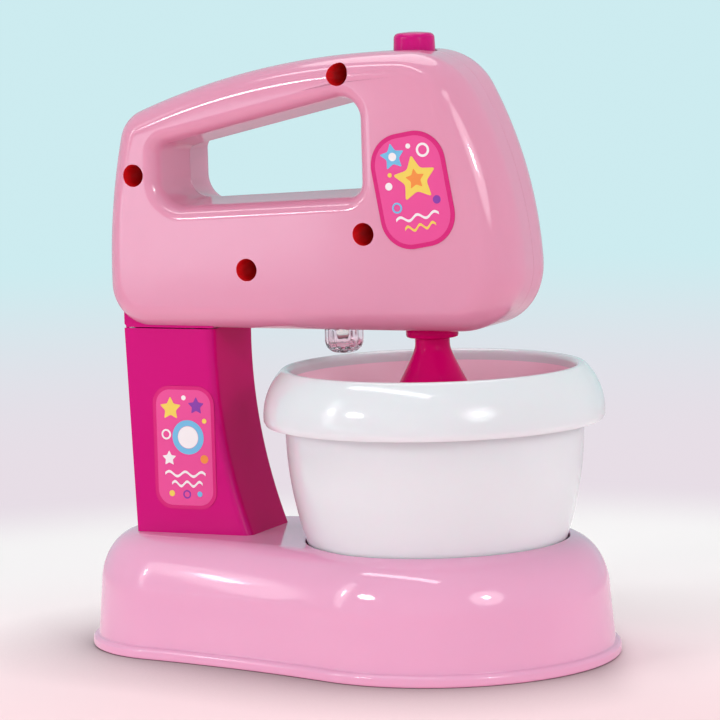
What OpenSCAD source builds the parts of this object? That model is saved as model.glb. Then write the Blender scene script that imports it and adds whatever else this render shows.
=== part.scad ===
// Toy stand mixer: pink base and tilting head, magenta column and beater, white bowl.
// X runs from the column end to the bowl end, Y across the toy, Z up from the floor.
// The origin lies on the floor under the middle of the base.

/* [Base] */
// Length over the lip
base_l = 178; // [175:1:186]
// Lip radius round the bowl end
base_front_r = 56.5; // [55.5:0.5:60]
// Lip radius round the column end
base_rear_r = 38; // [37:0.5:41]
// Radius of the drawn-in sides
base_waist_r = 380; // [250:10:600]
// Height of the top face
base_h = 37.5; // [35:0.5:41]
// Height of the lip
lip_h = 3.6; // [3:0.1:4.5]
// How far the lip stands out from the wall
lip_out = 1.9; // [1.4:0.1:2.2]
// How far the wall leans in below the shoulder
wall_lean = 1.3; // [0.8:0.1:1.6]
// Width of the rounded shoulder
shoulder_w = 13.5; // [12:0.5:14.5]
// Height of the rounded shoulder
shoulder_h = 18; // [15:0.5:20]

/* [Shells] */
// Wall of the moulded shells
wall = 2; // [1.8:0.1:2.3]
// Thickness of the base plate
plate_t = 2.5; // [2.3:0.1:3]
// Radius of the screw posts
post_r = 3.6; // [3.3:0.1:4]
// Gap between fixed pieces that fit together
fit = 0.15; // [0.1:0.05:0.2]
// Gap between pieces that move past each other
move_gap = 0.3; // [0.25:0.05:0.4]
// Radial gap of a shaft in its bearing
run_gap = 0.05; // [0.03:0.01:0.08]

/* [Batteries] */
// Diameter of one cell
cell_d = 14.2; // [13.5:0.1:14.5]
// Length of one cell with its knob
cell_l = 50.2; // [49:0.1:50.5]
// Distance of the battery tray's middle from the centre of the column end
tray_in = 13; // [9:0.5:15]
// Thickness of the battery door
door_t = 1.6; // [1.4:0.1:1.8]

/* [Bowl] */
// Place of the bowl and beater axis along X
bowl_x = 31; // [30:0.5:32]
// Depth of the seat in the base
seat_depth = 4.5; // [4:0.5:6]
// Radius of the bowl's foot
bowl_foot_r = 40; // [38:0.5:40.5]
// Radius of the bowl under its rim
bowl_mouth_r = 47.3; // [46:0.1:48]
// Height of the bowl from foot to rim
bowl_h = 59; // [56:0.5:59.5]
// Radius of the bulge of the bowl's side
bowl_bulge_r = 113; // [90:1:150]
// Height of the rolled rim
rim_h = 17.3; // [15:0.1:18]
// How far the rim stands out from the side
rim_out = 6.8; // [6:0.1:7.5]
// Radius of the rim's outer curve
rim_curve_r = 14.5; // [14:0.1:16]
// Thickness of the rolled rim
rim_t = 2.2; // [1.8:0.1:2.6]
// Wall of the bowl
bowl_wall = 2; // [1.6:0.1:2.4]

/* [Column] */
// Place of the top rear edge along X
col_rear_x = -70.4; // [-72:0.2:-69]
// Width across Y
col_w = 30.8; // [30:0.2:32]
// Length of the foot along X
col_foot_l = 40.5; // [39:0.5:43]
// Length of the top along X
col_top_l = 31.8; // [31:0.2:34]
// How far the rear face leans back from foot to top
col_lean = 2.4; // [1.6:0.2:3.2]
// Height above the base
col_h = 66.5; // [66:0.5:72]
// Radius of the hollow front face
col_front_r = 170; // [140:5:220]
// Rounding of the upright front edges
col_edge_r = 3; // [2.5:0.5:4]

/* [Hinge] */
// Distance of the hinge axis behind the rear face
hinge_out = 0.45; // [0.3:0.05:0.6]
// Radius of the knuckles
knuckle_r = 2.4; // [2.2:0.1:2.6]
// Radius of the pin
pin_r = 1.1; // [0.9:0.1:1.3]
// Width over all knuckles
hinge_w = 18; // [16:0.5:20]
// Width of the neck's middle knuckle
barrel_w = 10.6; // [9:0.2:11]
// Height of the neck block
neck_h = 9; // [8.5:0.5:10]

/* [Head] */
// Half of the width across Y
head_hw = 21; // [20.5:0.5:23]
// How far the head reaches behind the column
head_back = 4.5; // [4:0.5:6]
// How far the nose reaches past the beater axis
nose_reach = 34.6; // [33:0.2:37]
// Radius of the lower rear corner in side view
low_rear_r = 14.25; // [13:0.25:16]
// Radius of the upper rear corner
high_rear_r = 11.2; // [10:0.2:13]
// Radius of the upper front corner
brow_r = 17.5; // [15:0.5:20]
// Radius of the lower front corner
chin_r = 19.9; // [17:0.1:21]
// Rise of the upper rear corner's centre above the head's floor
high_rear_rise = 59.4; // [58:0.2:61]
// Set-in of the upper rear corner's centre from the lower one
high_rear_in = 1.8; // [1:0.2:3]
// Rise of the upper front corner's centre above the head's floor
brow_rise = 69.9; // [69:0.1:72]
// Set-back of the upper front corner's centre from the lower one
brow_back = 12.3; // [10:0.1:14]
// Bow radius of the rear face
back_bow_r = 200; // [150:10:300]
// Bow radius of the top
top_bow_r = 245; // [220:5:280]
// Bow radius of the nose
nose_bow_r = 130; // [110:5:160]
// Width of the rounded edge in side view
edge_in = 7.8; // [7:0.1:8]
// Depth of the rounded edge across Y
edge_deep = 10; // [9:0.5:11]
// Extra rounding of the nose in plan
nose_soft = 6.5; // [4:0.5:8]

/* [Handle opening] */
// Distance of the opening from the head's rear face
grip_back = 22.4; // [21.5:0.2:24]
// Length of the opening along X
grip_l = 66.5; // [64:0.5:68]
// Rise of the opening's floor above the head's floor, at the rear
grip_rise = 41.1; // [40:0.1:42]
// Climb of the opening's floor to the front
grip_climb = 2.9; // [2:0.1:4]
// Height of the opening at the rear
grip_rear_h = 16.8; // [15:0.2:17]
// Height of the opening at the front
grip_front_h = 27.6; // [25:0.2:28]
// Draft of the opening's walls
grip_draft = 1.6; // [1:0.1:2]
// Width of the opening's rounded edge in side view
grip_in = 4.8; // [4:0.1:5]
// Depth of the opening's rounded edge across Y
grip_deep = 6; // [5:0.5:7]

/* [Drive] */
// Teeth of the motor pinion
pinion_teeth = 12; // [12:1:14]
// Teeth of the idler's wheel
wheel_teeth = 36; // [34:1:38]
// Module of the first pair
pair_one_m = 0.6; // [0.55:0.05:0.65]
// Teeth of the idler's pinion
idler_teeth = 12; // [12:1:14]
// Teeth of the spindle gear
spindle_teeth = 30; // [28:1:31]
// Module of the second pair
pair_two_m = 0.75; // [0.7:0.05:0.8]
// Height of the spindle gear
gear_h = 4; // [3:0.5:4.5]
// Height of the idler's wheel
wheel_h = 3; // [2.5:0.5:3.5]
// Radius of the drive spindle
spindle_r = 2.5; // [2.2:0.1:2.8]
// Radius of the idler axle and the motor shaft
axle_r = 1; // [0.8:0.1:1.2]
// Length of the motor can
motor_l = 25; // [23:0.5:26]
// Diameter of the motor can
motor_d = 20; // [19:0.5:20.5]
// Distance across the flats of the motor can
motor_flat = 15; // [14:0.5:16]

/* [Beater] */
// Radius of the collar
collar_r = 8.3; // [7.8:0.1:9]
// Height of the collar
collar_h = 2.8; // [2.4:0.1:3.2]
// Radius of the stem
stem_r = 5.7; // [5.2:0.1:6.2]
// Height of the straight stem
stem_h = 3.2; // [2.5:0.1:4]
// Radius of the trumpet curve
trumpet_r = 14.8; // [13.5:0.1:16]
// Depth of the trumpet
trumpet_h = 14; // [12.5:0.1:14.5]
// Widest radius of the whisk
whisk_r = 20; // [18:0.5:23]
// Bottom of the whisk above the bowl's inner floor
whisk_gap = 6; // [5:0.5:10]
// Count of whisk ribs
rib_count = 6; // [4:1:8]

/* [Lamp and button] */
// Distance of the lamp behind the beater axis
lamp_back = 30.5; // [29.5:0.5:32]
// Radius of the lamp cover
lamp_r = 6.3; // [6:0.1:6.8]
// Drop of the lamp cover below the head
lamp_drop = 8.6; // [8:0.1:9.5]
// Count of flutes on the lamp cover
flute_count = 14; // [10:1:18]
// Distance of the button behind the beater axis
button_back = 3.6; // [3:0.2:6]
// Radius of the button
button_r = 6.9; // [6.5:0.1:7.2]
// Rise of the button above the head
button_rise = 5.5; // [5:0.1:6.5]
// Travel of the button
button_travel = 2.5; // [2:0.1:3]
// Length of the button spring
spring_l = 10; // [9:0.5:11]
// Turns of the button spring
spring_turns = 4.5; // [4:0.5:5]
// Wire of the springs
wire_d = 0.7; // [0.6:0.1:0.8]

/* [Screw wells] */
// Radius of a screw well
well_r = 3.6; // [3.4:0.1:3.8]
// Depth at which the wells end, from the parting plane
well_floor = 5; // [4.5:0.5:6]
// Length of a case screw under its head
screw_l = 11; // [10:0.5:12]

/* [Labels] */
// Width of the head's label
head_label_w = 25; // [20:0.5:26]
// Height of the head's label
head_label_h = 36; // [30:0.5:38]
// Corner radius of the head's label
head_label_r = 10; // [6:0.5:10]
// Lean of the head's label towards the handle
head_label_lean = 10; // [0:1:15]
// Distance of the head's label ahead of the beater axis
head_label_ahead = 3.5; // [2:0.5:5]
// Rise of the head's label above the head's floor
head_label_rise = 44.7; // [42:0.1:47]
// Width of the column's label
col_label_w = 22; // [18:0.5:24]
// Height of the column's label
col_label_h = 40; // [34:0.5:42]
// Corner radius of the column's label
col_label_r = 6; // [4:0.5:8]
// Distance of the column's label from the foot's rear edge
col_label_in = 18; // [15:0.5:19]
// Rise of the column's label above the base
col_label_rise = 28; // [25:0.5:32]

/* [Hidden] */
$fn = 96;

pink = [0.93, 0.62, 0.76];
magenta = [0.80, 0.06, 0.44];
white = [0.96, 0.96, 0.97];
clear = [0.95, 0.88, 0.92, 0.6];
steel = [0.72, 0.72, 0.74];
nylon = [0.93, 0.92, 0.88];
black = [0.12, 0.12, 0.13];
copper = [0.78, 0.48, 0.30];

// Cuts run this far past the faces that they open
past = 1;
// Screw shank and head
shank_r = 1.3;
screw_head_r = 2.8;
screw_head_h = 2;

// Base outline: two lobes joined by drawn-in arcs
front_cx = base_l / 2 - base_front_r;
rear_cx = base_rear_r - base_l / 2;
lobe_gap = front_cx - rear_cx;
waist_a = base_rear_r + base_waist_r;
waist_b = base_front_r + base_waist_r;
waist_x = rear_cx + (waist_a ^ 2 - waist_b ^ 2 + lobe_gap ^ 2) / (2 * lobe_gap);
waist_y = sqrt(waist_a ^ 2 - (waist_x - rear_cx) ^ 2);
front_span = atan2(waist_y, waist_x - front_cx);
rear_span = atan2(waist_y, waist_x - rear_cx);
waist_front = atan2(waist_y, front_cx - waist_x);
waist_rear = atan2(waist_y, rear_cx - waist_x);
lip_round = 0.9;
wall_in = lip_out + wall;
// The plate's edge clears the leaning wall at the plate's top
plate_in = wall_in + wall_lean * (plate_t + past) / (base_h - shoulder_h + past) + fit;

// Seat, bowl and its rim
seat_z = base_h - seat_depth;
bowl_z = seat_z + move_gap;
bowl_top = bowl_z + bowl_h;
rim_z = bowl_top - rim_h;
bowl_side = [bowl_mouth_r - bowl_foot_r, rim_z - bowl_z];
bowl_chord = norm(bowl_side);
bowl_c = [bowl_foot_r, bowl_z] + bowl_side / 2
  + [-bowl_side.y, bowl_side.x] / bowl_chord * sqrt(bowl_bulge_r ^ 2 - bowl_chord ^ 2 / 4);
function bowl_r(z) = bowl_c.x + sqrt(bowl_bulge_r ^ 2 - (z - bowl_c.y) ^ 2);
seat_r = bowl_r(base_h) + 2 * move_gap;
// Share of the rim's height at which it stands out most
rim_swell = 0.3;
rim_c = [bowl_mouth_r + rim_out - rim_curve_r, rim_z + rim_h * rim_swell];

// Base posts that take the plate's screws
post_ring = seat_r + wall + post_r / 2;
rear_ring = base_rear_r - wall_in - post_r;
front_post_a = 58;
rear_post_a = 146;
base_posts = [
  for (s = [-1, 1]) [bowl_x + post_ring * cos(front_post_a), s * post_ring * sin(front_post_a)],
  for (s = [-1, 1]) [rear_cx, 0] + rear_ring * [cos(rear_post_a), s * sin(rear_post_a)]
];

// Battery tray
tray_x = rear_cx + tray_in;
contact_room = 3;
tray_l = cell_l + 2 * contact_room;
tray_w = 2 * cell_d + 1.2;
tray_wall = 1.6;
tray_top = door_t + cell_d + 0.8;
cell_y = (cell_d + 0.4) / 2;
cell_z = door_t + 0.3 + cell_d / 2;
ledge = 1.5;
tab_x = tray_x + tray_l / 2 + 5.5;
tab_r = 4.6;

// Column
col_top = base_h + col_h;
col_foot_x = col_rear_x + col_lean;
col_front_top = [col_rear_x + col_top_l, col_top];
col_front_foot = [col_foot_x + col_foot_l, base_h];
col_side = col_front_foot - col_front_top;
col_chord = norm(col_side);
col_c = col_front_top + col_side / 2
  + [-col_side.y, col_side.x] / col_chord * sqrt(col_front_r ^ 2 - col_chord ^ 2 / 4);
// Places of the column's bosses and foot posts, from the foot's rear edge
low_boss_in = 16;
low_boss_rise = 22;
high_boss_in = 13;
high_boss_rise = 53;
rear_post_in = 8.5;
front_post_in = 30;
foot_post_y = 9;
col_bosses = [
  [col_foot_x + low_boss_in, base_h + low_boss_rise],
  [col_foot_x + high_boss_in, base_h + high_boss_rise]
];
foot_posts = [[col_foot_x + rear_post_in, foot_post_y], [col_foot_x + front_post_in, foot_post_y]];
foot_post_h = 13;
lead_x = col_foot_x + 5.5;
// Cores of the supply lead, side by side
core_r = 0.7;
core_y = core_r + 0.05;

// Hinge and neck
neck_z = col_top + move_gap;
hinge_x = col_rear_x - hinge_out;
hinge_z = (col_top + neck_z) / 2;
neck_floor = 2.5;
neck_top = neck_z + neck_h;
neck_post = [col_rear_x + 21, 9.5];

// Head outline: corners as [x, z, radius], clockwise from the lower rear, and the bows between them
head_z = neck_z;
head_rear_x = col_rear_x - head_back;
low_rear = [head_rear_x + low_rear_r, head_z + low_rear_r, low_rear_r];
high_rear = [low_rear.x + high_rear_in, head_z + high_rear_rise, high_rear_r];
nose_x = bowl_x + nose_reach;
chin = [nose_x - chin_r, head_z + chin_r, chin_r];
brow = [chin.x - brow_back, head_z + brow_rise, brow_r];
straight_r = 20000;
// Room over the brow for the bow of the top
top_bow_rise = 20;
head_corners = [low_rear, high_rear, brow, chin];
head_bows = [back_bow_r, top_bow_r, nose_bow_r, straight_r];
corner_steps = [8, 8, 8, 8];
bow_steps = [6, 14, 9, 9];
edge_step = 15;
inner_step = 30;
// The rounded edges run this far past the side before it is cut flat
side_over = 0.15;

// Handle opening: the same kind of outline
grip_x = head_rear_x + grip_back;
grip_z = head_z + grip_rise;
grip_low_rear_r = 6.5;
grip_high_rear_r = 2;
grip_high_front_r = 5;
grip_low_front_r = 3;
grip_front_x = grip_x + grip_l;
grip_roof = grip_z + grip_climb + grip_front_h;
grip_corners = [
  [grip_x + grip_low_rear_r, grip_z + grip_low_rear_r, grip_low_rear_r],
  [grip_x + grip_high_rear_r, grip_z + grip_rear_h - grip_high_rear_r, grip_high_rear_r],
  [grip_front_x - grip_high_front_r, grip_roof - grip_high_front_r, grip_high_front_r],
  [grip_front_x - grip_low_front_r, grip_z + grip_climb + grip_low_front_r, grip_low_front_r]
];
grip_bows = [straight_r, straight_r, straight_r, straight_r];

// Screw wells of the head, in side view: two from its rear face and two from the beater axis
rear_well_in = 12.4;
rear_well_rise = 49.3;
low_well_in = 51.6;
low_well_rise = 19.4;
front_well_back = 13.7;
front_well_rise = 30.9;
top_well_back = 21.3;
top_well_rise = 80.6;
wells = [
  [head_rear_x + rear_well_in, head_z + rear_well_rise],
  [head_rear_x + low_well_in, head_z + low_well_rise],
  [bowl_x - front_well_back, head_z + front_well_rise],
  [bowl_x - top_well_back, head_z + top_well_rise]
];
boss_r = well_r + 1.3;

// Drive levels
head_floor = head_z + wall;
tray_lift = 0.8;
box_z = head_floor + tray_lift;
box_t = 1.5;
box_gap = 0.4;
gear_z = box_z + box_t + box_gap;
wheel_z = gear_z + gear_h + box_gap;
lid_z = wheel_z + wheel_h + box_gap;
motor_z = lid_z + box_t;
press_angle = 25;
backlash = 0.12;
idler_x = bowl_x - (idler_teeth + spindle_teeth) * pair_two_m / 2;
motor_x = idler_x - (pinion_teeth + wheel_teeth) * pair_one_m / 2;
gear_tip_r = (spindle_teeth / 2 + 1) * pair_two_m;
box_hw = gear_tip_r + 0.6 + 1.2;
box_wall = 1.2;
box_x0 = motor_x - motor_d / 2 - 2;
box_x1 = bowl_x + box_hw;
cradle_h = 6;
bush_r = spindle_r + 2.5;

// Beater
beater_z = head_z - move_gap;
stem_z = beater_z - collar_h - stem_h;
trumpet_z = stem_z - trumpet_h;
whisk_z = bowl_z + bowl_wall + whisk_gap;
beater_t = 2;
socket_h = 13;
function trumpet(z) = stem_r + trumpet_r - sqrt(trumpet_r ^ 2 - (stem_z - z) ^ 2);

// Lamp
lamp_x = bowl_x - lamp_back;
lamp_flange_t = 1;
lamp_board_t = 1.2;

// Button, switch and spring
button_x = bowl_x - button_back;
top_c = bow_centre(high_rear, brow, top_bow_r);
function head_top(x) = top_c.y + sqrt(top_bow_r ^ 2 - (x - top_c.x) ^ 2);
button_z = head_top(button_x);
flange_t = 1.5;
flange_z = button_z - wall - 1.2;
flange_r = button_r + 1.5;
switch_z = flange_z - flange_t - spring_l;
switch_h = 6;
switch_w = 12;
shelf_t = 2;
shelf_hl = 8;
plunger_r = 1.8;
plunger_up = 4;
spring_r = 4.6;

// Stickers lie on the near sides
sticker_t = 0.2;

// Centre of the bow that runs round the outside of corners p and q
function bow_centre(p, q, r) =
  let (d = [q.x - p.x, q.y - p.y], l = norm(d), u = d / l, a = r - p.z, b = r - q.z)
  let (t = (a ^ 2 - b ^ 2 + l ^ 2) / (2 * l))
  [p.x, p.y] + u * t + [u.y, -u.x] * sqrt(a ^ 2 - t ^ 2);
function heading(from, to) = atan2(to.y - from.y, to.x - from.x);
function clockwise(a0, a1) = a1 > a0 ? a1 - 360 : a1;
// One stretch of outline: [centre x, centre z, radius, angle] for each of n points
function stretch(c, r, a0, a1, n) = [for (i = [0 : n - 1]) [c.x, c.y, r, a0 + (a1 - a0) * i / n]];
// A closed outline of four corners and four bows
function outline(corners, bows) =
  let (mid = [for (i = [0 : 3]) bow_centre(corners[i], corners[(i + 1) % 4], bows[i])])
  [
    for (i = [0 : 3])
      let (
        c = corners[i],
        a0 = heading(mid[(i + 3) % 4], c),
        a1 = clockwise(a0, heading(mid[i], c)),
        a2 = clockwise(a1, heading(mid[i], corners[(i + 1) % 4]))
      )
      each concat(stretch(c, c.z, a0, a1, corner_steps[i]), stretch(mid[i], bows[i], a1, a2, bow_steps[i]))
  ];
// The outline drawn in by d at depth y; soft moves the nose back as far as it faces forward
function ring(line, d, y, soft) =
  [
    for (v = line)
      let (c = cos(v[3]), s = sin(v[3]))
      [v[0] + (v[2] - d) * c - soft * max(0, c) ^ 2, y, v[1] + (v[2] - d) * s]
  ];
function mm_angle(arc, r) = arc / r * 180 / PI;

// Solid between closed rings, each joined to the next and the last to the first
module looped(rings) {
  n = len(rings[0]);
  k = len(rings);
  polyhedron(
    points = [for (r = rings) each r],
    faces = [
      for (j = [0 : k - 1], i = [0 : n - 1], half = [0, 1])
        let (a = j * n, b = (j + 1) % k * n, i2 = (i + 1) % n)
        half == 0 ? [a + i, b + i, a + i2] : [a + i2, b + i, b + i2]
    ],
    convexity = 10
  );
}

// Solid between open rings stacked upward, closed by flat ends
module stacked(rings) {
  n = len(rings[0]);
  k = len(rings);
  mid = [for (r = [rings[0], rings[k - 1]]) [0, 0, r[0].z]];
  polyhedron(
    points = [each [for (r = rings) each r], each mid],
    faces = [
      for (j = [0 : k - 2], i = [0 : n - 1], half = [0, 1])
        let (a = j * n, b = a + n, i2 = (i + 1) % n)
        half == 0 ? [a + i, b + i, b + i2] : [a + i, b + i2, a + i2],
      for (i = [0 : n - 1]) [k * n, i, (i + 1) % n],
      for (i = [0 : n - 1]) [k * n + 1, (k - 1) * n + (i + 1) % n, (k - 1) * n + i]
    ],
    convexity = 10
  );
}

// Base outline: lobes bulge outward (+1) and waists inward (-1)
function base_arc(cx, cy, r, a0, a1, n, bulge) =
  [for (i = [0 : n - 1]) [cx, cy, r, a0 + (a1 - a0) * i / n, bulge]];
base_line = concat(
  base_arc(front_cx, 0, base_front_r, -front_span, front_span, 28, 1),
  base_arc(waist_x, waist_y, base_waist_r, -waist_front, -waist_rear, 10, -1),
  base_arc(rear_cx, 0, base_rear_r, rear_span, 360 - rear_span, 20, 1),
  base_arc(waist_x, -waist_y, base_waist_r, waist_rear, waist_front, 10, -1)
);
// The base outline drawn in by d
function base_plan(d) =
  [for (v = base_line) let (r = v[2] - v[4] * d) [v[0] + r * cos(v[3]), v[1] + r * sin(v[3])]];
function base_rings(skin) = [for (p = skin) [for (q = base_plan(p.x)) [q.x, q.y, p.y]]];

module base_outside() {
  stacked(base_rings(
    concat(
      [[lip_round, 0], [lip_round * 0.3, lip_round * 0.3], [0, lip_round], [0, lip_h - lip_round]],
      [[lip_round * 0.3, lip_h - lip_round * 0.3], [lip_out, lip_h + lip_round * 0.4]],
      [
        for (a = [0 : 10 : 90])
          [lip_out + wall_lean + shoulder_w * (1 - cos(a)), base_h - shoulder_h + shoulder_h * sin(a)]
      ]
    )
  ));
}

module base_inside() {
  stacked(base_rings(
    concat(
      [[wall_in, -past]],
      [
        for (a = [0 : 15 : 90])
          [
            wall_in + wall_lean + (shoulder_w - wall) * (1 - cos(a)),
            base_h - shoulder_h + (shoulder_h - wall) * sin(a)
          ]
      ]
    )
  ));
}

module upright(at, r, z0, z1) {
  translate([at.x, at.y, z0])
    cylinder(r = r, h = z1 - z0);
}

// Cylinder across Y at a place in side view
module across(at, r, y0, y1) {
  translate([at.x, y0, at.y])
    rotate([-90, 0, 0])
      cylinder(r = r, h = y1 - y0);
}

module screw(length) {
  cylinder(r = shank_r, h = length);
  translate([0, 0, -screw_head_h])
    cylinder(r1 = screw_head_r * 0.8, r2 = screw_head_r, h = screw_head_h);
}

module base_shell() {
  color(pink)
    difference() {
      base_outside();
      difference() {
        base_inside();
        upright([bowl_x, 0], seat_r + wall, seat_z - wall, base_h);
        for (p = base_posts)
          upright(p, post_r, plate_t, base_h);
      }
      upright([bowl_x, 0], seat_r, seat_z, base_h + past);
      for (p = base_posts)
        upright(p, shank_r + run_gap, -past, plate_t + screw_l);
      for (p = foot_posts, s = [-1, 1])
        upright([p.x, s * p.y], shank_r + fit, base_h - wall - past, base_h + past);
      upright([lead_x, 0], 2.5, base_h - wall - past, base_h + past);
    }
}

module base_plate() {
  door_l = tray_l + 2 * ledge;
  door_w = tray_w + 2 * ledge;
  color(pink)
    difference() {
      union() {
        linear_extrude(plate_t)
          polygon(base_plan(plate_in));
        translate([tray_x - tray_l / 2 - tray_wall, -tray_w / 2 - tray_wall, 0])
          cube([tray_l + 2 * tray_wall, tray_w + 2 * tray_wall, tray_top + tray_wall]);
        upright([tab_x, 0], post_r, plate_t, plate_t + 8);
      }
      translate([tray_x - tray_l / 2, -tray_w / 2, -past])
        cube([tray_l, tray_w, tray_top + past]);
      translate([tray_x - door_l / 2, -door_w / 2, -past])
        cube([door_l, door_w, door_t + fit + past]);
      upright([tab_x, 0], tab_r + fit, -past, door_t + fit);
      upright([tab_x, 0], shank_r + run_gap, -past, plate_t + 7);
      for (p = base_posts) {
        upright(p, shank_r + fit, -past, plate_t + past);
        upright(p, screw_head_r + fit, -past, screw_head_h * 0.9);
      }
    }
}

module battery_door() {
  door_l = tray_l + 2 * (ledge - fit);
  door_w = tray_w + 2 * (ledge - fit);
  color(pink)
    difference() {
      union() {
        translate([tray_x - door_l / 2, -door_w / 2, 0])
          cube([door_l, door_w, door_t]);
        upright([tab_x, 0], tab_r, 0, door_t);
      }
      upright([tab_x, 0], shank_r + fit, -past, door_t + past);
      upright([tab_x, 0], screw_head_r + fit, -past, door_t * 0.5);
      for (i = [-3 : 3])
        translate([tray_x - tray_l / 2 + 8 + i * 1.6, -5, -past])
          cube([0.8, 10, past + 0.4]);
    }
}

module door_screw() {
  color(steel)
    translate([tab_x, 0, 0]) {
      translate([0, 0, door_t * 0.5])
        cylinder(r = shank_r, h = 6);
      translate([0, 0, 0.1])
        cylinder(r = screw_head_r, h = door_t * 0.5 - 0.1);
    }
}

module base_screws() {
  color(steel)
    for (p = base_posts)
      translate([p.x, p.y, screw_head_h * 0.9]) {
        cylinder(r = shank_r, h = screw_l);
        translate([0, 0, 0.2 - screw_head_h * 0.9])
          cylinder(r = screw_head_r, h = screw_head_h * 0.9 - 0.2);
      }
}

module battery_cells() {
  knob = 1.2;
  color(steel)
    for (s = [-1, 1])
      translate([tray_x, s * cell_y, cell_z])
        rotate([0, s * 90, 0])
          translate([0, 0, -cell_l / 2]) {
            cylinder(r = cell_d / 2, h = cell_l - knob);
            translate([0, 0, cell_l - knob])
              cylinder(r = 2.75, h = knob);
          }
}

contact_t = 0.4;

module battery_contacts() {
  color(steel)
    for (e = [-1, 1], s = [-1, 1])
      translate([tray_x + e * (tray_l / 2 - contact_t / 2), s * cell_y, cell_z])
        cube([contact_t, 10, 11], center = true);
}

// Points along a helix about Z, then the round wire along them
function helix(r0, r1, h, turns, steps) =
  [
    for (i = [0 : steps])
      let (t = i / steps, r = r0 + (r1 - r0) * t, a = 360 * turns * t)
      [r * cos(a), r * sin(a), h * t]
  ];

module wire(path, r, sides) {
  n = len(path);
  function along(i) = path[min(i + 1, n - 1)] - path[max(i - 1, 0)];
  function unit(v) = v / norm(v);
  rings = [
    for (i = [0 : n - 1])
      let (t = unit(along(i)), u = unit(cross(t, [0, 0, 1])), v = cross(u, t))
      [for (k = [0 : sides - 1]) path[i] + r * (cos(360 * k / sides) * u + sin(360 * k / sides) * v)]
  ];
  polyhedron(
    points = [each [for (g = rings) each g], path[0], path[n - 1]],
    faces = [
      for (j = [0 : n - 2], k = [0 : sides - 1], half = [0, 1])
        let (a = j * sides, b = a + sides, k2 = (k + 1) % sides)
        half == 0 ? [a + k, a + k2, b + k] : [a + k2, b + k2, b + k],
      for (k = [0 : sides - 1]) [n * sides, (k + 1) % sides, k],
      for (k = [0 : sides - 1]) [n * sides + 1, (n - 1) * sides + k, (n - 1) * sides + (k + 1) % sides]
    ],
    convexity = 10
  );
}

module battery_springs() {
  room = contact_room - contact_t;
  color(steel)
    for (s = [-1, 1])
      translate([tray_x - s * (tray_l / 2 - contact_t), s * cell_y, cell_z])
        rotate([0, s * 90, 0])
          translate([0, 0, wire_d / 2])
            wire(helix(4.2, 2, room - wire_d, 2, 24), wire_d / 2, 6);
}

module column_solid(inset) {
  hw = col_w / 2 - inset;
  r = col_front_r + inset;
  e = max(0.5, col_edge_r - inset);
  deep = 60;
  a_top = heading(col_c, col_front_top);
  a_foot = heading(col_c, col_front_foot);
  a0 = a_top < 0 ? a_top + 360 : a_top;
  a1 = a_foot < 0 ? a_foot + 360 : a_foot;
  spare = 3;
  intersection() {
    translate([col_c.x, 0, col_c.y])
      rotate([90, 0, 0])
        rotate(a0 - spare)
          rotate_extrude(angle = a1 - a0 + 2 * spare) {
            translate([r + e, -hw])
              square([deep, 2 * hw]);
            translate([r, e - hw])
              square([2 * e, 2 * hw - 2 * e]);
            for (s = [-1, 1])
              translate([r + e, s * (hw - e)])
                circle(r = e);
          }
    rotate([90, 0, 0])
      translate([0, 0, -hw - past])
        linear_extrude(2 * hw + 2 * past)
          polygon([
            [col_foot_x + inset, base_h + inset],
            [col_rear_x + inset, col_top - inset],
            [col_front_foot.x + past, col_top - inset],
            [col_front_foot.x + past, base_h + inset]
          ]);
  }
}

// One half of the column on the +Y side; the far half holds the screw wells
module column_half(far) {
  half_l = col_lean + col_foot_l + 2 * past;
  difference() {
    union() {
      difference() {
        intersection() {
          column_solid(0);
          translate([col_rear_x - past, 0, base_h - past])
            cube([half_l, col_w, col_h + 2 * past]);
        }
        difference() {
          column_solid(wall);
          for (b = col_bosses)
            across(b, post_r, 0, col_w / 2);
          for (p = foot_posts)
            upright(p, post_r, base_h, base_h + foot_post_h);
        }
        across([hinge_x, hinge_z], knuckle_r + move_gap, -past, barrel_w / 2 + move_gap);
      }
      across([hinge_x, hinge_z], knuckle_r, barrel_w / 2 + move_gap, hinge_w / 2);
    }
    across([hinge_x, hinge_z], pin_r + run_gap, barrel_w / 2, hinge_w / 2 + past);
    for (b = col_bosses)
      if (far) {
        across(b, screw_head_r + move_gap, well_floor, col_w / 2 + past);
        across(b, shank_r + fit, -past, col_w / 2);
      } else {
        across(b, shank_r + run_gap, -past, screw_l);
      }
    for (p = foot_posts)
      upright(p, shank_r + run_gap, base_h - past, base_h + screw_l);
    upright([lead_x, 0], 2, base_h - past, col_top + past);
  }
}

module column_near_half() {
  color(magenta)
    mirror([0, 1, 0])
      column_half(false);
}

module column_far_half() {
  color(magenta)
    column_half(true);
}

module column_screws() {
  color(steel)
    for (b = col_bosses)
      translate([b.x, well_floor, b.y])
        rotate([90, 0, 0])
          screw(screw_l);
}

module column_foot_screws() {
  color(steel)
    for (p = foot_posts, s = [-1, 1])
      translate([p.x, s * p.y, base_h - wall])
        screw(screw_l);
}

module hinge_pin() {
  color(steel)
    across([hinge_x, hinge_z], pin_r, -hinge_w / 2, hinge_w / 2);
}

// Two cores side by side, from the battery tray to the column's top
module column_lead() {
  color(black)
    for (s = [-1, 1])
      upright([lead_x, s * core_y], core_r, tray_top + tray_wall, col_top);
}

// A label with round corners, its face towards -Y
module label(w, h, r) {
  rotate([90, 0, 0])
    linear_extrude(sticker_t) {
      square([w - 2 * r, h], center = true);
      square([w, h - 2 * r], center = true);
      for (x = [-1, 1], z = [-1, 1])
        translate([x * (w / 2 - r), z * (h / 2 - r)])
          circle(r = r);
    }
}

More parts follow.
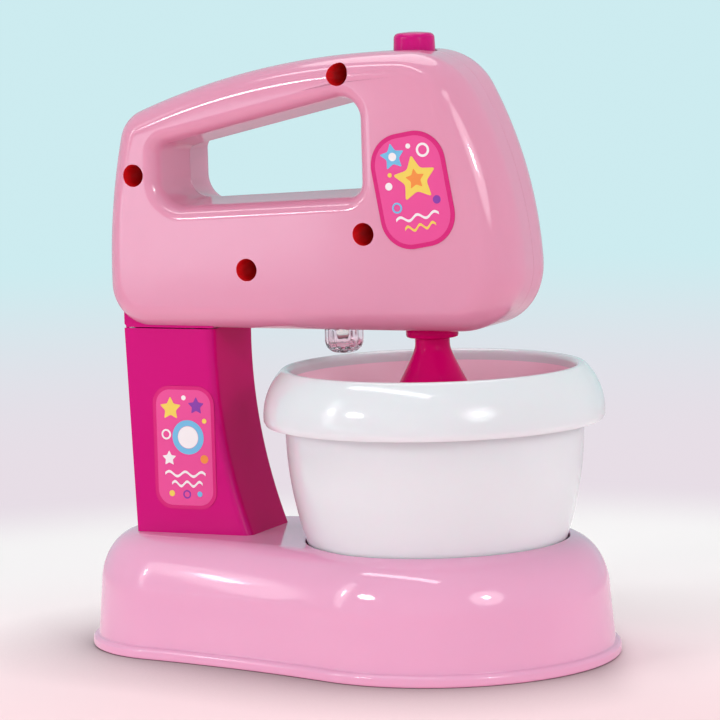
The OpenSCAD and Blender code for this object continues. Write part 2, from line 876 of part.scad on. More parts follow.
module column_sticker() {
  color(magenta)
    translate([col_foot_x + col_label_in, -col_w / 2, base_h + col_label_rise])
      label(col_label_w, col_label_h, col_label_r);
}

module tilt_neck() {
  color(magenta)
    difference() {
      union() {
        translate([col_rear_x, -col_w / 2, neck_z])
          cube([col_top_l, col_w, neck_h]);
        across([hinge_x, hinge_z], knuckle_r, -barrel_w / 2, barrel_w / 2);
      }
      translate([col_rear_x + wall, wall - col_w / 2, neck_z + neck_floor])
        cube([col_top_l - 2 * wall, col_w - 2 * wall, neck_h]);
      for (s = [0, 1])
        mirror([0, s, 0]) {
          across([hinge_x, hinge_z], knuckle_r + move_gap, barrel_w / 2, hinge_w / 2 + move_gap);
          upright(neck_post, shank_r + fit, neck_z - past, neck_z + neck_floor + past);
          upright(neck_post, screw_head_r + fit, neck_z - past, neck_z + 1.2);
        }
      across([hinge_x, hinge_z], pin_r + run_gap, -col_w, col_w);
      upright([col_rear_x + 10, 0], 2, neck_z - past, neck_z + neck_floor + past);
    }
}

module neck_screws() {
  color(steel)
    for (s = [-1, 1])
      translate([neck_post.x, s * neck_post.y, neck_z + 1.2]) {
        cylinder(r = shank_r, h = 9);
        translate([0, 0, -1])
          cylinder(r = screw_head_r, h = 1);
      }
}

head_line = outline(head_corners, head_bows);
grip_line = outline(grip_corners, grip_bows);

// Rounded edges as rings: from the head's outline to the side, and from the side to the opening
function head_edge(t, step) =
  [
    for (a = [0 : step : 90])
      ring(
        head_line,
        edge_in - (edge_in - t) * cos(a),
        head_hw - edge_deep + (edge_deep - t + side_over) * sin(a),
        nose_soft * (1 - cos(a))
      )
  ];
function grip_edge(t, step) =
  [
    for (a = [90 : -step : 0])
      ring(
        grip_line,
        (grip_in - t) * cos(a) - grip_draft - grip_in,
        head_hw - grip_deep + (grip_deep - t + side_over) * sin(a),
        0
      )
  ];

// Half of the head on the +Y side, drawn in by t, with the handle opening through it and the side cut flat
module head_form(t, y0, step) {
  intersection() {
    looped(
      concat(
        [ring(head_line, t, y0, 0)],
        head_edge(t, step),
        [ring(head_line, edge_in, head_hw + past, nose_soft)],
        [ring(grip_line, -grip_draft - grip_in, head_hw + past, 0)],
        grip_edge(t, step),
        [ring(grip_line, -t, y0, 0)]
      )
    );
    translate([head_rear_x - past, y0 - past, head_z - past])
      cube([nose_x - head_rear_x + 2 * past, head_hw - t - y0 + past, brow_rise + brow_r + top_bow_rise]);
  }
}

module neck_pocket() {
  translate([col_rear_x - fit, -past, head_z - past])
    cube([col_top_l + 2 * fit, col_w / 2 + fit + past, neck_h + fit + past]);
}

// What stands inside one half: bosses, the neck's post, the switch shelf and ribs that hold the gearbox
module head_ribs() {
  to_side = head_hw - wall / 2;
  rib_t = 1.6;
  for (w = wells)
    across(w, boss_r, 0, to_side);
  upright(neck_post, post_r, neck_z + neck_floor, neck_top + 8);
  translate([neck_post.x - rib_t / 2, neck_post.y, neck_top + fit + 0.4])
    cube([rib_t, to_side - neck_post.y, 7]);
  translate([button_x - shelf_hl, 0, switch_z - switch_h - shelf_t])
    cube([2 * shelf_hl, to_side, shelf_t]);
  for (x = [motor_x, bowl_x - 4])
    translate([x - rib_t / 2, box_hw + fit, box_z])
      cube([rib_t, to_side - box_hw - fit, lid_z + box_t - box_z]);
}

module head_half(near) {
  difference() {
    head_form(0, 0, edge_step);
    difference() {
      head_form(wall, -past, inner_step);
      head_ribs();
    }
    neck_pocket();
    upright([bowl_x, 0], bush_r + fit, head_z - past, head_floor + past);
    upright([lamp_x, 0], lamp_r + fit, head_z - past, head_floor + past);
    upright([button_x, 0], button_r + move_gap, button_z - wall - 2 * past, button_z + 2 * past);
    upright(neck_post, shank_r + run_gap, neck_z, neck_z + 11);
    for (w = wells)
      if (near) {
        across(w, well_r, well_floor, head_hw + past);
        across(w, shank_r + fit, -past, head_hw);
      } else {
        across(w, shank_r + run_gap, -past, screw_l);
      }
  }
}

module head_near_half() {
  color(pink)
    mirror([0, 1, 0])
      head_half(true);
}

module head_far_half() {
  color(pink)
    head_half(false);
}

module head_screws() {
  color(steel)
    for (w = wells)
      translate([w.x, -well_floor, w.y])
        rotate([-90, 0, 0])
          screw(screw_l);
}

module head_sticker() {
  color(magenta)
    translate([bowl_x + head_label_ahead, -head_hw, head_z + head_label_rise])
      rotate([0, -head_label_lean, 0])
        label(head_label_w, head_label_h, head_label_r);
}

module lamp_cover() {
  round_r = 4.2;
  shell = 1;
  color(clear)
    translate([lamp_x, 0, head_z - lamp_drop])
      difference() {
        rotate_extrude() {
          difference() {
            union() {
              square([lamp_r - round_r, lamp_drop + wall]);
              translate([0, round_r])
                square([lamp_r, lamp_drop + wall - round_r]);
              intersection() {
                translate([lamp_r - round_r, round_r])
                  circle(r = round_r);
                square([lamp_r, round_r]);
              }
              translate([0, lamp_drop + wall])
                square([lamp_r + 1.2, lamp_flange_t]);
            }
            translate([0, round_r])
              square([lamp_r - shell, lamp_drop + wall + lamp_flange_t]);
          }
        }
        for (i = [0 : flute_count - 1])
          rotate(360 / flute_count * i)
            translate([lamp_r + 0.2, 0, -past])
              cylinder(r = 0.6, h = lamp_drop - 1 + past, $fn = 24);
      }
}

module lamp_bulb() {
  bulb_r = 2.5;
  bulb_l = 7.5;
  color([1, 0.95, 0.8])
    translate([lamp_x, 0, head_floor + lamp_flange_t + run_gap])
      rotate_extrude() {
        square([lamp_r, lamp_board_t]);
        translate([0, bulb_r - bulb_l])
          square([bulb_r, bulb_l - bulb_r]);
        intersection() {
          translate([0, bulb_r - bulb_l])
            circle(r = bulb_r);
          translate([0, -bulb_l])
            square([bulb_r, bulb_r]);
        }
      }
}

module motor_can(grow, h) {
  intersection() {
    cylinder(r = motor_d / 2 + grow, h = h);
    translate([-motor_d, -motor_flat / 2 - grow, 0])
      cube([2 * motor_d, motor_flat + 2 * grow, h]);
  }
}

module motor() {
  color(steel)
    translate([motor_x, 0, motor_z])
      difference() {
        motor_can(0, motor_l);
        translate([0, 0, -past])
          cylinder(r = axle_r + run_gap, h = motor_l - 4 + past);
      }
}

module box_plan() {
  translate([box_x0, -box_hw])
    square([box_x1 - box_x0, 2 * box_hw]);
}

module gearbox_tray() {
  foot_r = 1.6;
  color(nylon)
    difference() {
      union() {
        translate([0, 0, box_z])
          linear_extrude(lid_z - box_z)
            box_plan();
        for (x = [box_x0 + 3, box_x1 - 3], y = [-7, 7])
          upright([x, y], foot_r, head_floor + fit, box_z);
      }
      translate([box_x0 + box_wall, box_wall - box_hw, box_z + box_t])
        cube([box_x1 - box_x0 - 2 * box_wall, 2 * (box_hw - box_wall), lid_z - box_z]);
      upright([bowl_x, 0], bush_r + fit, box_z - past, box_z + box_t + past);
      upright([lamp_x, 0], lamp_r + 1.2 + fit, box_z - past, box_z + box_t + past);
      upright([idler_x, 0], axle_r + run_gap, box_z - past, box_z + box_t + past);
    }
}

module gearbox_lid() {
  cradle_t = 1.2;
  color(nylon)
    difference() {
      union() {
        translate([0, 0, lid_z])
          linear_extrude(box_t)
            box_plan();
        translate([motor_x, 0, motor_z])
          motor_can(fit + cradle_t, cradle_h);
      }
      translate([motor_x, 0, motor_z])
        motor_can(fit, cradle_h + past);
      upright([motor_x, 0], axle_r + 1.5, lid_z - past, motor_z + past);
      upright([idler_x, 0], axle_r + run_gap, lid_z - past, motor_z + past);
      upright([bowl_x, 0], spindle_r + run_gap, lid_z - past, motor_z + past);
    }
}

module idler_axle() {
  color(steel)
    upright([idler_x, 0], axle_r, box_z, motor_z);
}

module spindle_bush() {
  color(nylon)
    difference() {
      union() {
        upright([bowl_x, 0], bush_r, head_z, box_z + box_t);
        upright([bowl_x, 0], bush_r + 1.5, head_floor + fit, box_z - fit);
      }
      upright([bowl_x, 0], spindle_r + run_gap, head_z - past, box_z + box_t + past);
    }
}

module push_switch() {
  color(black)
    difference() {
      translate([button_x - switch_w / 2, -switch_w / 2, switch_z - switch_h])
        cube([switch_w, switch_w, switch_h]);
      upright([button_x, 0], plunger_r + run_gap, switch_z - button_travel - 2.5, switch_z + past);
    }
}

module button_spring() {
  rise = spring_l - wire_d - 0.2;
  path = helix(spring_r, spring_r, rise, spring_turns, 36);
  pitch_gap = rise / spring_turns - wire_d;
  echo(button_spring_least_gap = pitch_gap);
  color(steel)
    translate([button_x, 0, switch_z + 0.1 + wire_d / 2])
      wire(path, wire_d / 2, 6);
}

// Two cores from the neck forward, up past the gearbox and in to the motor's rear end
module head_lead() {
  bend_r = 1.5;
  x0 = col_rear_x + 10;
  x1 = box_x0 - core_r - move_gap;
  x2 = motor_x - motor_d / 2;
  z0 = neck_z + 0.5;
  z1 = neck_top + 2;
  z2 = motor_z + motor_l - 6;
  color(black)
    for (s = [-1, 1])
      translate([0, s * core_y, 0]) {
        upright([x0, 0], core_r, z0, z1 - bend_r);
        along_x(x0 + bend_r, x1 - bend_r, z1);
        upright([x1, 0], core_r, z1 + bend_r, z2 - bend_r);
        along_x(x1 + bend_r, x2, z2);
        bend([x0 + bend_r, z1 - bend_r], bend_r, 90);
        bend([x1 - bend_r, z1 + bend_r], bend_r, 270);
        bend([x1 + bend_r, z2 - bend_r], bend_r, 90);
      }
}

// One core along X, and a quarter turn of it in side view
module along_x(x0, x1, z) {
  translate([x0, 0, z])
    rotate([0, 90, 0])
      cylinder(r = core_r, h = x1 - x0);
}
module bend(at, r, a) {
  translate([at.x, 0, at.y])
    rotate([90, 0, 0])
      rotate(a)
        rotate_extrude(angle = 90)
          translate([r, 0])
            circle(r = core_r);
}

module power_button() {
  round_r = 1.6;
  top = button_z + button_rise;
  color(magenta)
    translate([button_x, 0, 0])
      rotate_extrude() {
        translate([0, flange_z])
          square([button_r, top - round_r - flange_z]);
        translate([0, flange_z - flange_t])
          square([flange_r, flange_t]);
        translate([0, top - 2 * round_r])
          square([button_r - round_r, 2 * round_r]);
        translate([button_r - round_r, top - round_r])
          circle(r = round_r);
        translate([0, switch_z + plunger_up])
          square([3, flange_z - switch_z - plunger_up]);
      }
}

module switch_plunger() {
  color(nylon)
    upright([button_x, 0], plunger_r, switch_z - 2, switch_z + plunger_up);
}

module beater() {
  ring_z = trumpet_z - 2;
  rim_r = trumpet(trumpet_z);
  stem_top = stem_z + stem_h;
  hub_r = 5;
  hub_h = 4;
  rib_w = 15;
  lip = 0.6;
  core = spindle_r + 2;
  rib_steps = 12;
  trumpet_line = [for (i = [0 : 10]) let (z = stem_z - trumpet_h * i / 10) [trumpet(z), z]];
  function rib_r(z) =
    let (t = (ring_z - z) / (ring_z - whisk_z))
    hub_r - 1 + (rim_r - hub_r) * (1 - t) + (whisk_r - rim_r * 0.6) * sin(180 * t);
  function rib_z(k) = ring_z + 1 + (whisk_z - ring_z - 1) * k / rib_steps;
  rib_line = [for (k = [0 : rib_steps]) [rib_r(min(rib_z(k), ring_z)), rib_z(k)]];
  color(magenta)
    translate([bowl_x, 0, 0])
      difference() {
        union() {
          rotate_extrude()
            polygon(
              concat(
                [[0, beater_z], [collar_r - 0.6, beater_z], [collar_r, beater_z - 0.6]],
                [[collar_r, stem_top + 0.5], [collar_r - 0.5, stem_top], [stem_r, stem_top]],
                trumpet_line,
                [[rim_r, ring_z], [rim_r - beater_t, ring_z]],
                [for (i = [10 : -1 : 3]) [max(core, trumpet_line[i].x - beater_t), trumpet_line[i].y - lip]],
                [[0, trumpet_line[3].y - lip]]
              )
            );
          for (i = [0 : rib_count - 1])
            rotate(360 / rib_count * i - rib_w / 2)
              rotate_extrude(angle = rib_w)
                polygon(
                  concat(
                    rib_line,
                    [for (k = [rib_steps : -1 : 0]) [max(1, rib_line[k].x - beater_t), rib_line[k].y]]
                  )
                );
          upright([0, 0], hub_r, whisk_z, whisk_z + hub_h);
        }
        upright([0, 0], spindle_r + run_gap, beater_z - socket_h, beater_z + past);
      }
}

module drive_spindle() {
  color(steel)
    upright([bowl_x, 0], spindle_r, beater_z - socket_h + fit, motor_z);
}

// Involute gear in plan: n teeth of module m, with a tooth on +X
function spread(a) = tan(a) * 180 / PI - a;
function tooth_half(n, m, r) =
  90 / n - mm_angle(backlash / 2, n * m / 2) + spread(press_angle)
  - spread(acos(min(1, n * m / 2 * cos(press_angle) / r)));
module gear_plan(n, m) {
  pitch_r = n * m / 2;
  root_r = pitch_r - 1.25 * m;
  tip_r = pitch_r + 0.95 * m;
  low_r = max(root_r + 0.05, pitch_r * cos(press_angle));
  flank = [for (i = [0 : 4]) low_r + (tip_r - low_r) * i / 4];
  function at(r, a) = r * [cos(a), sin(a)];
  polygon([
    for (k = [0 : n - 1])
      let (c = 360 / n * k)
      each concat(
        [at(root_r, c - tooth_half(n, m, low_r))],
        [for (r = flank) at(r, c - tooth_half(n, m, r))],
        [for (i = [4 : -1 : 0]) at(flank[i], c + tooth_half(n, m, flank[i]))],
        [at(root_r, c + tooth_half(n, m, low_r))]
      )
  ]);
}

module spindle_gear() {
  color(nylon)
    translate([bowl_x, 0, gear_z])
      difference() {
        rotate(180 + 180 / spindle_teeth)
          linear_extrude(gear_h)
            gear_plan(spindle_teeth, pair_two_m);
        translate([0, 0, -past])
          cylinder(r = spindle_r + run_gap, h = gear_h + 2 * past);
      }
}

module idler_gear() {
  color(nylon)
    translate([idler_x, 0, 0])
      difference() {
        union() {
          translate([0, 0, gear_z])
            linear_extrude(wheel_z - gear_z)
              gear_plan(idler_teeth, pair_two_m);
          translate([0, 0, wheel_z])
            rotate(180)
              linear_extrude(wheel_h)
                gear_plan(wheel_teeth, pair_one_m);
        }
        translate([0, 0, gear_z - past])
          cylinder(r = axle_r + run_gap, h = lid_z - gear_z + 2 * past);
      }
}

module motor_shaft() {
  color(steel)
    upright([motor_x, 0], axle_r, wheel_z, motor_z + motor_l - 5);
}

module motor_pinion() {
  color(copper)
    translate([motor_x, 0, wheel_z])
      difference() {
        rotate(180 / pinion_teeth)
          linear_extrude(wheel_h)
            gear_plan(pinion_teeth, pair_one_m);
        translate([0, 0, -past])
          cylinder(r = axle_r + run_gap, h = wheel_h + 2 * past);
      }
}

module bowl() {
  foot_round = 3;
  floor_round = 6;
  inner_r = rim_curve_r - rim_t;
  groove_z = bowl_top - 7;
  low_a = -asin((rim_c.y - rim_z) / rim_curve_r);
  high_a = asin((bowl_top - rim_c.y) / rim_curve_r);
  in_low_a = -asin((rim_c.y - rim_z) / inner_r);
  in_high_a = asin((groove_z - rim_c.y) / inner_r);
  floor_z = bowl_z + bowl_wall;
  floor_r = bowl_r(floor_z + floor_round) - bowl_wall;
  function arc(c, r, a0, a1, n) =
    [for (i = [0 : n]) let (a = a0 + (a1 - a0) * i / n) c + r * [cos(a), sin(a)]];
  function side(z0, z1, n, d) =
    [for (i = [0 : n]) let (z = z0 + (z1 - z0) * i / n) [bowl_r(z) - d, z]];
  color(white)
    translate([bowl_x, 0, 0])
      rotate_extrude($fn = 128)
        polygon(
          concat(
            [[0, bowl_z]],
            arc([bowl_r(bowl_z + foot_round) - foot_round, bowl_z + foot_round], foot_round, -90, -10, 4),
            side(bowl_z + foot_round, rim_z, 8, 0),
            [[bowl_r(rim_z), groove_z]],
            arc(rim_c, inner_r, in_high_a, in_low_a, 6),
            arc(rim_c, rim_curve_r, low_a, high_a, 12),
            [[bowl_r(rim_z) - bowl_wall + 0.6, bowl_top], [bowl_r(rim_z) - bowl_wall, bowl_top - 0.6]],
            side(rim_z, floor_z + floor_round, 8, bowl_wall),
            arc([floor_r - floor_round, floor_z + floor_round], floor_round, -10, -90, 5),
            [[0, floor_z]]
          )
        );
}

base_shell();
base_plate();
battery_door();
door_screw();
base_screws();
battery_cells();
battery_contacts();
battery_springs();
column_near_half();
column_far_half();
column_screws();
column_foot_screws();
hinge_pin();
column_lead();
column_sticker();
tilt_neck();
neck_screws();
head_near_half();
head_far_half();
head_screws();
head_sticker();
lamp_cover();
lamp_bulb();
motor();
gearbox_tray();
gearbox_lid();
idler_axle();
spindle_bush();
push_switch();
button_spring();
head_lead();
power_button();
switch_plunger();
beater();
drive_spindle();
spindle_gear();
idler_gear();
motor_shaft();
motor_pinion();
bowl();
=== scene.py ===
import math

import bmesh
import bpy
from mathutils import Matrix, Vector


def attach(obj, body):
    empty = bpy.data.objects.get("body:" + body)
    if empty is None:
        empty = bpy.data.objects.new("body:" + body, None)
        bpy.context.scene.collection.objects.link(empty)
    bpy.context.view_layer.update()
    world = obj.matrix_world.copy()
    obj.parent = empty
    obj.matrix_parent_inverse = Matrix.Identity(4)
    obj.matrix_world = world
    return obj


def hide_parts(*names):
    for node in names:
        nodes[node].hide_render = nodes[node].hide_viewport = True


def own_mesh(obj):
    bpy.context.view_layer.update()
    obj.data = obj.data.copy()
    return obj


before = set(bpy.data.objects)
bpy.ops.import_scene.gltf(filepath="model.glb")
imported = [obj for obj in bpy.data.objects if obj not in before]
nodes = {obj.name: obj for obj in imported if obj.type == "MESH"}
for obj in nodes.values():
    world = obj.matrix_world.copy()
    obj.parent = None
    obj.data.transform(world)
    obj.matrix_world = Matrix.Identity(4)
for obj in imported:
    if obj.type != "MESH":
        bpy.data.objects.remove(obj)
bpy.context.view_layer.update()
scene = bpy.context.scene
mm = 0.001
print("frame loaded:", len(nodes), "nodes")


# camera as the photo was taken
shot = {
    "azimuth": 23.91, "elevation": 6.41, "roll": -1.61, "distance": 1.10596,
    "target": (0.00578, 0.0, 0.09326), "lens": 173.3, "sensor": 36,
}


def cosOf(degrees):
    return math.cos(math.radians(degrees))


def sinOf(degrees):
    return math.sin(math.radians(degrees))


toCamera = (sinOf(shot["azimuth"]), -cosOf(shot["azimuth"]), 0)
toRight = (cosOf(shot["azimuth"]), sinOf(shot["azimuth"]), 0)


def placeCamera():
    back = Vector(toCamera) * cosOf(shot["elevation"]) + Vector((0, 0, sinOf(shot["elevation"])))
    side = Vector(toRight)
    rise = back.cross(side)
    right = side * cosOf(shot["roll"]) + rise * sinOf(shot["roll"])
    up = rise * cosOf(shot["roll"]) - side * sinOf(shot["roll"])
    data = bpy.data.cameras.new("photoCamera")
    data.lens, data.sensor_width = shot["lens"], shot["sensor"]
    camera = bpy.data.objects.new("photoCamera", data)
    scene.collection.objects.link(camera)
    turn = Matrix((right, up, back)).transposed().to_4x4()
    camera.matrix_world = Matrix.Translation(Vector(shot["target"]) + back * shot["distance"]) @ turn
    scene.camera = camera


placeCamera()


# floor, lamps and world
studio = {
    "floorSize": 6, "floorRough": 0.6, "floorShine": 0.1,
    "floorFront": (0.95, 0.70, 0.73), "floorBack": (0.96, 0.94, 0.94), "deepens": (0.20, -0.18),
    # reach and depth of the painted contact shadow beside the toy, and where it ends on the right
    "contact": (0.05, 1.5), "contactSamples": 16, "beside": (0.092, 0.074),
    # the floor turns into haze from mat to rim, and the haze into sky by far
    "mat": 0.24, "rim": 0.36, "far": 1.6, "haze": (0.80, 0.725, 0.79), "sky": (0.61, 0.835, 0.87),
    "air": 0.17, "mirrored": 0.8,
    # glow of the floor for gloss rays only, a painted bright horizon that the toy reflects: where it rises,
    # its gain, and where it is kept to
    "horizon": (1.36, 1.5), "gain": 2.5, "ahead": (0.3, 0.6), "aside": (-0.03, 0.02),
    "gleamSide": (-cosOf(shot["azimuth"]), sinOf(shot["azimuth"]), 0),
    "aim": (0, 0, 0.1),
    "lamps": [
        # name, shape, azimuth, distance, height, width, tall, power, seen in gloss
        ("softBoxLeft", "ELLIPSE", -52, 1.3, 0.53, 0.24, 0.95, 1.1, True),
        ("softBoxLeftCore", "ELLIPSE", -51.5, 1.26, 0.53, 0.04, 0.22, 0.4, True),
        ("barGlint", "ELLIPSE", -32, 1.24, 0.52, 0.30, 0.14, 2.4, True),
        ("leftFill", "ELLIPSE", -38, 1.3, 0.48, 0.95, 0.62, 1.7, False),
        ("ceilingStrip", "RECTANGLE", -24, 0.62, 1.25, 1.2, 0.14, 3.2, True),
        ("umbrellaRight", "ELLIPSE", 54, 1.3, 0.55, 0.55, 0.55, 2.2, True),
        ("umbrellaRightCore", "ELLIPSE", 54, 1.26, 0.55, 0.1, 0.1, 1.2, True),
        ("sidePanel", "RECTANGLE", 88, 1.3, 0.5, 1.0, 1.0, 4.6, False),
        ("backPanel", "RECTANGLE", 126, 1.35, 0.5, 0.95, 1.2, 4.6, False),
        ("backFill", "ELLIPSE", 240, 1.3, 0.6, 0.8, 0.8, 2.6, False),
        ("overhead", "ELLIPSE", 204, 0.4, 1.4, 1.2, 1.2, 8.6, True),
        ("frontFill", "RECTANGLE", 15, 1.5, 0.24, 1.4, 0.3, 4.4, False),
        ("leftLow", "RECTANGLE", -45, 1.4, 0.2, 0.8, 0.2, 1.8, False),
    ],
}


def light(name, shape, azimuth, distance, height, width, tall, power, mirrored):
    # azimuth is counted from the near side towards the nose, as seen from above
    data = bpy.data.lights.new(name, "AREA")
    data.shape, data.size, data.size_y, data.energy = shape, width, tall, power
    lamp = bpy.data.objects.new(name, data)
    scene.collection.objects.link(lamp)
    lamp.location = (sinOf(azimuth) * distance, -cosOf(azimuth) * distance, height)
    lamp.rotation_euler = (Vector(studio["aim"]) - lamp.location).to_track_quat("-Z", "Y").to_euler()
    lamp.visible_camera, lamp.visible_glossy = False, mirrored


def newMaterial(name):
    mat = bpy.data.materials.new(name)
    mat.use_nodes = True
    return mat, mat.node_tree, mat.node_tree.nodes["Principled BSDF"]


def filled(made, values):
    for key, value in values.items():
        made.inputs[key].default_value = value
    return made


def nodeOf(tree, kind, **values):
    made = tree.nodes.new("ShaderNode" + kind)
    for key, value in values.items():
        setattr(made, key, value)
    return made


def blended(tree, factor, a, b):
    mix = nodeOf(tree, "Mix", data_type="RGBA")
    tree.links.new(factor, mix.inputs["Factor"])
    for place, value in (("A", a), ("B", b)):
        if isinstance(value, tuple):
            mix.inputs[place].default_value = (*value, 1)
        else:
            tree.links.new(value, mix.inputs[place])
    return mix.outputs["Result"]


def ramped(tree, value, low, high):
    span = nodeOf(tree, "MapRange", interpolation_type="SMOOTHSTEP")
    filled(span, {"From Min": low, "From Max": high})
    tree.links.new(value, span.inputs["Value"])
    return span.outputs["Result"]


def spreadOver(tree, value, low, high):
    span = filled(nodeOf(tree, "MapRange"), {"To Min": low, "To Max": high})
    tree.links.new(value, span.inputs["Value"])
    return span.outputs["Result"]


def maths(tree, kind, a, b):
    made = nodeOf(tree, "Math", operation=kind)
    for place, value in ((0, a), (1, b)):
        if isinstance(value, (int, float)):
            made.inputs[place].default_value = value
        else:
            tree.links.new(value, made.inputs[place])
    return made.outputs[0]


def product(tree, first, *others):
    for other in others:
        first = maths(tree, "MULTIPLY", first, other)
    return first


def along(tree, place, way):
    made = nodeOf(tree, "VectorMath", operation="DOT_PRODUCT")
    made.inputs[1].default_value = way
    tree.links.new(place, made.inputs[0])
    return made.outputs["Value"]


def objectPlace(tree):
    return nodeOf(tree, "TexCoord").outputs["Object"]


def noiseOf(tree, place, scale, detail=2.0, rough=0.5):
    made = filled(nodeOf(tree, "TexNoise"), {"Scale": scale, "Detail": detail, "Roughness": rough})
    tree.links.new(place, made.inputs["Vector"])
    return made.outputs["Fac"]


def backdropRays(tree):
    # whether a ray shows the backdrop, and how much of it:
    # in full to the eye and through glass, dimmed in gloss and metal
    path = nodeOf(tree, "LightPath").outputs
    results = []
    for shown in (path["Is Glossy Ray"], product(tree, path["Is Glossy Ray"], studio["mirrored"])):
        for ray in ("Is Camera Ray", "Is Transmission Ray"):
            shown = maths(tree, "MAXIMUM", shown, path[ray])
        results.append(shown)
    return results


def floorMaterial():
    s = studio
    mat, tree, shader = newMaterial("paleFloor")
    filled(shader, {"Roughness": s["floorRough"], "Specular IOR Level": s["floorShine"]})
    path = nodeOf(tree, "LightPath").outputs
    place = objectPlace(tree)
    radius = nodeOf(tree, "VectorMath", operation="LENGTH")
    tree.links.new(place, radius.inputs[0])
    away = radius.outputs["Value"]
    front, right, slant = (along(tree, place, way) for way in (toCamera, toRight, s["gleamSide"]))
    tone = blended(tree, ramped(tree, front, *s["deepens"]), s["floorFront"], s["floorBack"])
    # painted shadow: to the eye only, the floor's colour darkens close to the toy as a contact shadow
    reach, depth = s["contact"]
    paintedShadowNear = nodeOf(tree, "AmbientOcclusion", samples=s["contactSamples"])
    paintedShadowNear.inputs["Distance"].default_value = reach
    paintedShadowStrength = product(tree, path["Is Camera Ray"], depth, ramped(tree, right, *s["beside"]))
    shaded = blended(tree, maths(tree, "POWER", paintedShadowNear.outputs["AO"], paintedShadowStrength), (0, 0, 0), tone)
    tree.links.new(shaded, shader.inputs["Base Color"])
    # painted reflection: far in front on the left, the floor glows above white for gloss rays only, so the
    # toy reflects a bright horizon that no lamp gives
    glossOnlyGlow = product(tree, ramped(tree, away, *s["horizon"]), ramped(tree, front, *s["ahead"]),
                    ramped(tree, slant, *s["aside"]), s["gain"], path["Is Glossy Ray"])
    shows, share = backdropRays(tree)
    glow = nodeOf(tree, "Emission")
    air = blended(tree, ramped(tree, away, s["rim"], s["far"]), s["haze"], s["sky"])
    tree.links.new(air, glow.inputs["Color"])
    tree.links.new(maths(tree, "ADD", share, glossOnlyGlow), glow.inputs["Strength"])
    both = nodeOf(tree, "MixShader")
    outer = product(tree, ramped(tree, away, s["mat"], s["rim"]), shows)
    for spot, given in enumerate((outer, shader.outputs[0], glow.outputs[0])):
        tree.links.new(given, both.inputs[spot])
    tree.links.new(both.outputs[0], tree.nodes["Material Output"].inputs["Surface"])
    return mat


def makeStudio():
    bm = bmesh.new()
    bmesh.ops.create_grid(bm, x_segments=2, y_segments=2, size=studio["floorSize"])
    mesh = bpy.data.meshes.new("floor")
    bm.to_mesh(mesh)
    bm.free()
    floor = bpy.data.objects.new("floor", mesh)
    scene.collection.objects.link(floor)
    mesh.materials.append(floorMaterial())
    world = bpy.data.worlds.new("studioAir")
    world.use_nodes = True
    tree = world.node_tree
    shows, share = backdropRays(tree)
    dimmed = blended(tree, share, (0, 0, 0), studio["sky"])
    still = tuple(studio["air"] for _ in range(3))
    tree.links.new(blended(tree, shows, still, dimmed), tree.nodes["Background"].inputs["Color"])
    scene.world = world
    scene.view_settings.view_transform = "Standard"
    for lamp in studio["lamps"]:
        light(*lamp)


makeStudio()
print("camera and studio placed")


# shared finish: what moulding leaves on a plastic skin
skinNoise = {
    "cloud": (28, 3),             # slow change of pigment
    "haze": (160, 4, 0.6),        # handled, slightly hazed patches
    "scuff": (1400, 2, 0.7),      # fine rub marks
    "sink": (34, 1),              # sink marks over ribs and bosses
    "orange": (900, 2),           # faint texture of the mould
    "orangeDeep": 0.004, "relief": {"Distance": 0.0006, "Strength": 0.5}, "ior": 1.5,
}


def makeMouldedSkin():
    group = bpy.data.node_groups.new("mouldedSkin", "ShaderNodeTree")
    colours = {"Colour": (0.8, 0.8, 0.8, 1), "Deep Colour": (0.7, 0.7, 0.7, 1)}
    values = {"Gloss": 0.12, "Gloss Spread": 0.08, "Sink": 0.4, "Rub": 0.1}
    for kind, defaults in (("Color", colours), ("Float", values)):
        for name, value in defaults.items():
            made = group.interface.new_socket(name=name, in_out="INPUT", socket_type="NodeSocket" + kind)
            made.default_value = value
    for name, kind in (("Colour", "Color"), ("Roughness", "Float"), ("Height", "Float")):
        group.interface.new_socket(name=name, in_out="OUTPUT", socket_type="NodeSocket" + kind)
    given = group.nodes.new("NodeGroupInput").outputs
    out = group.nodes.new("NodeGroupOutput").inputs
    place = objectPlace(group)
    cloud, haze, scuff, sink, orange = (
        noiseOf(group, place, *skinNoise[name]) for name in ("cloud", "haze", "scuff", "sink", "orange"))
    group.links.new(blended(group, cloud, given["Deep Colour"], given["Colour"]), out["Colour"])
    hazed = product(group, haze, given["Gloss Spread"])
    rubbed = product(group, scuff, given["Rub"], haze)
    dull = maths(group, "ADD", maths(group, "ADD", hazed, given["Gloss"]), rubbed)
    group.links.new(dull, out["Roughness"])
    grain = product(group, orange, skinNoise["orangeDeep"])
    group.links.new(maths(group, "ADD", product(group, sink, given["Sink"]), grain), out["Height"])
    return group


mouldedSkin = makeMouldedSkin()


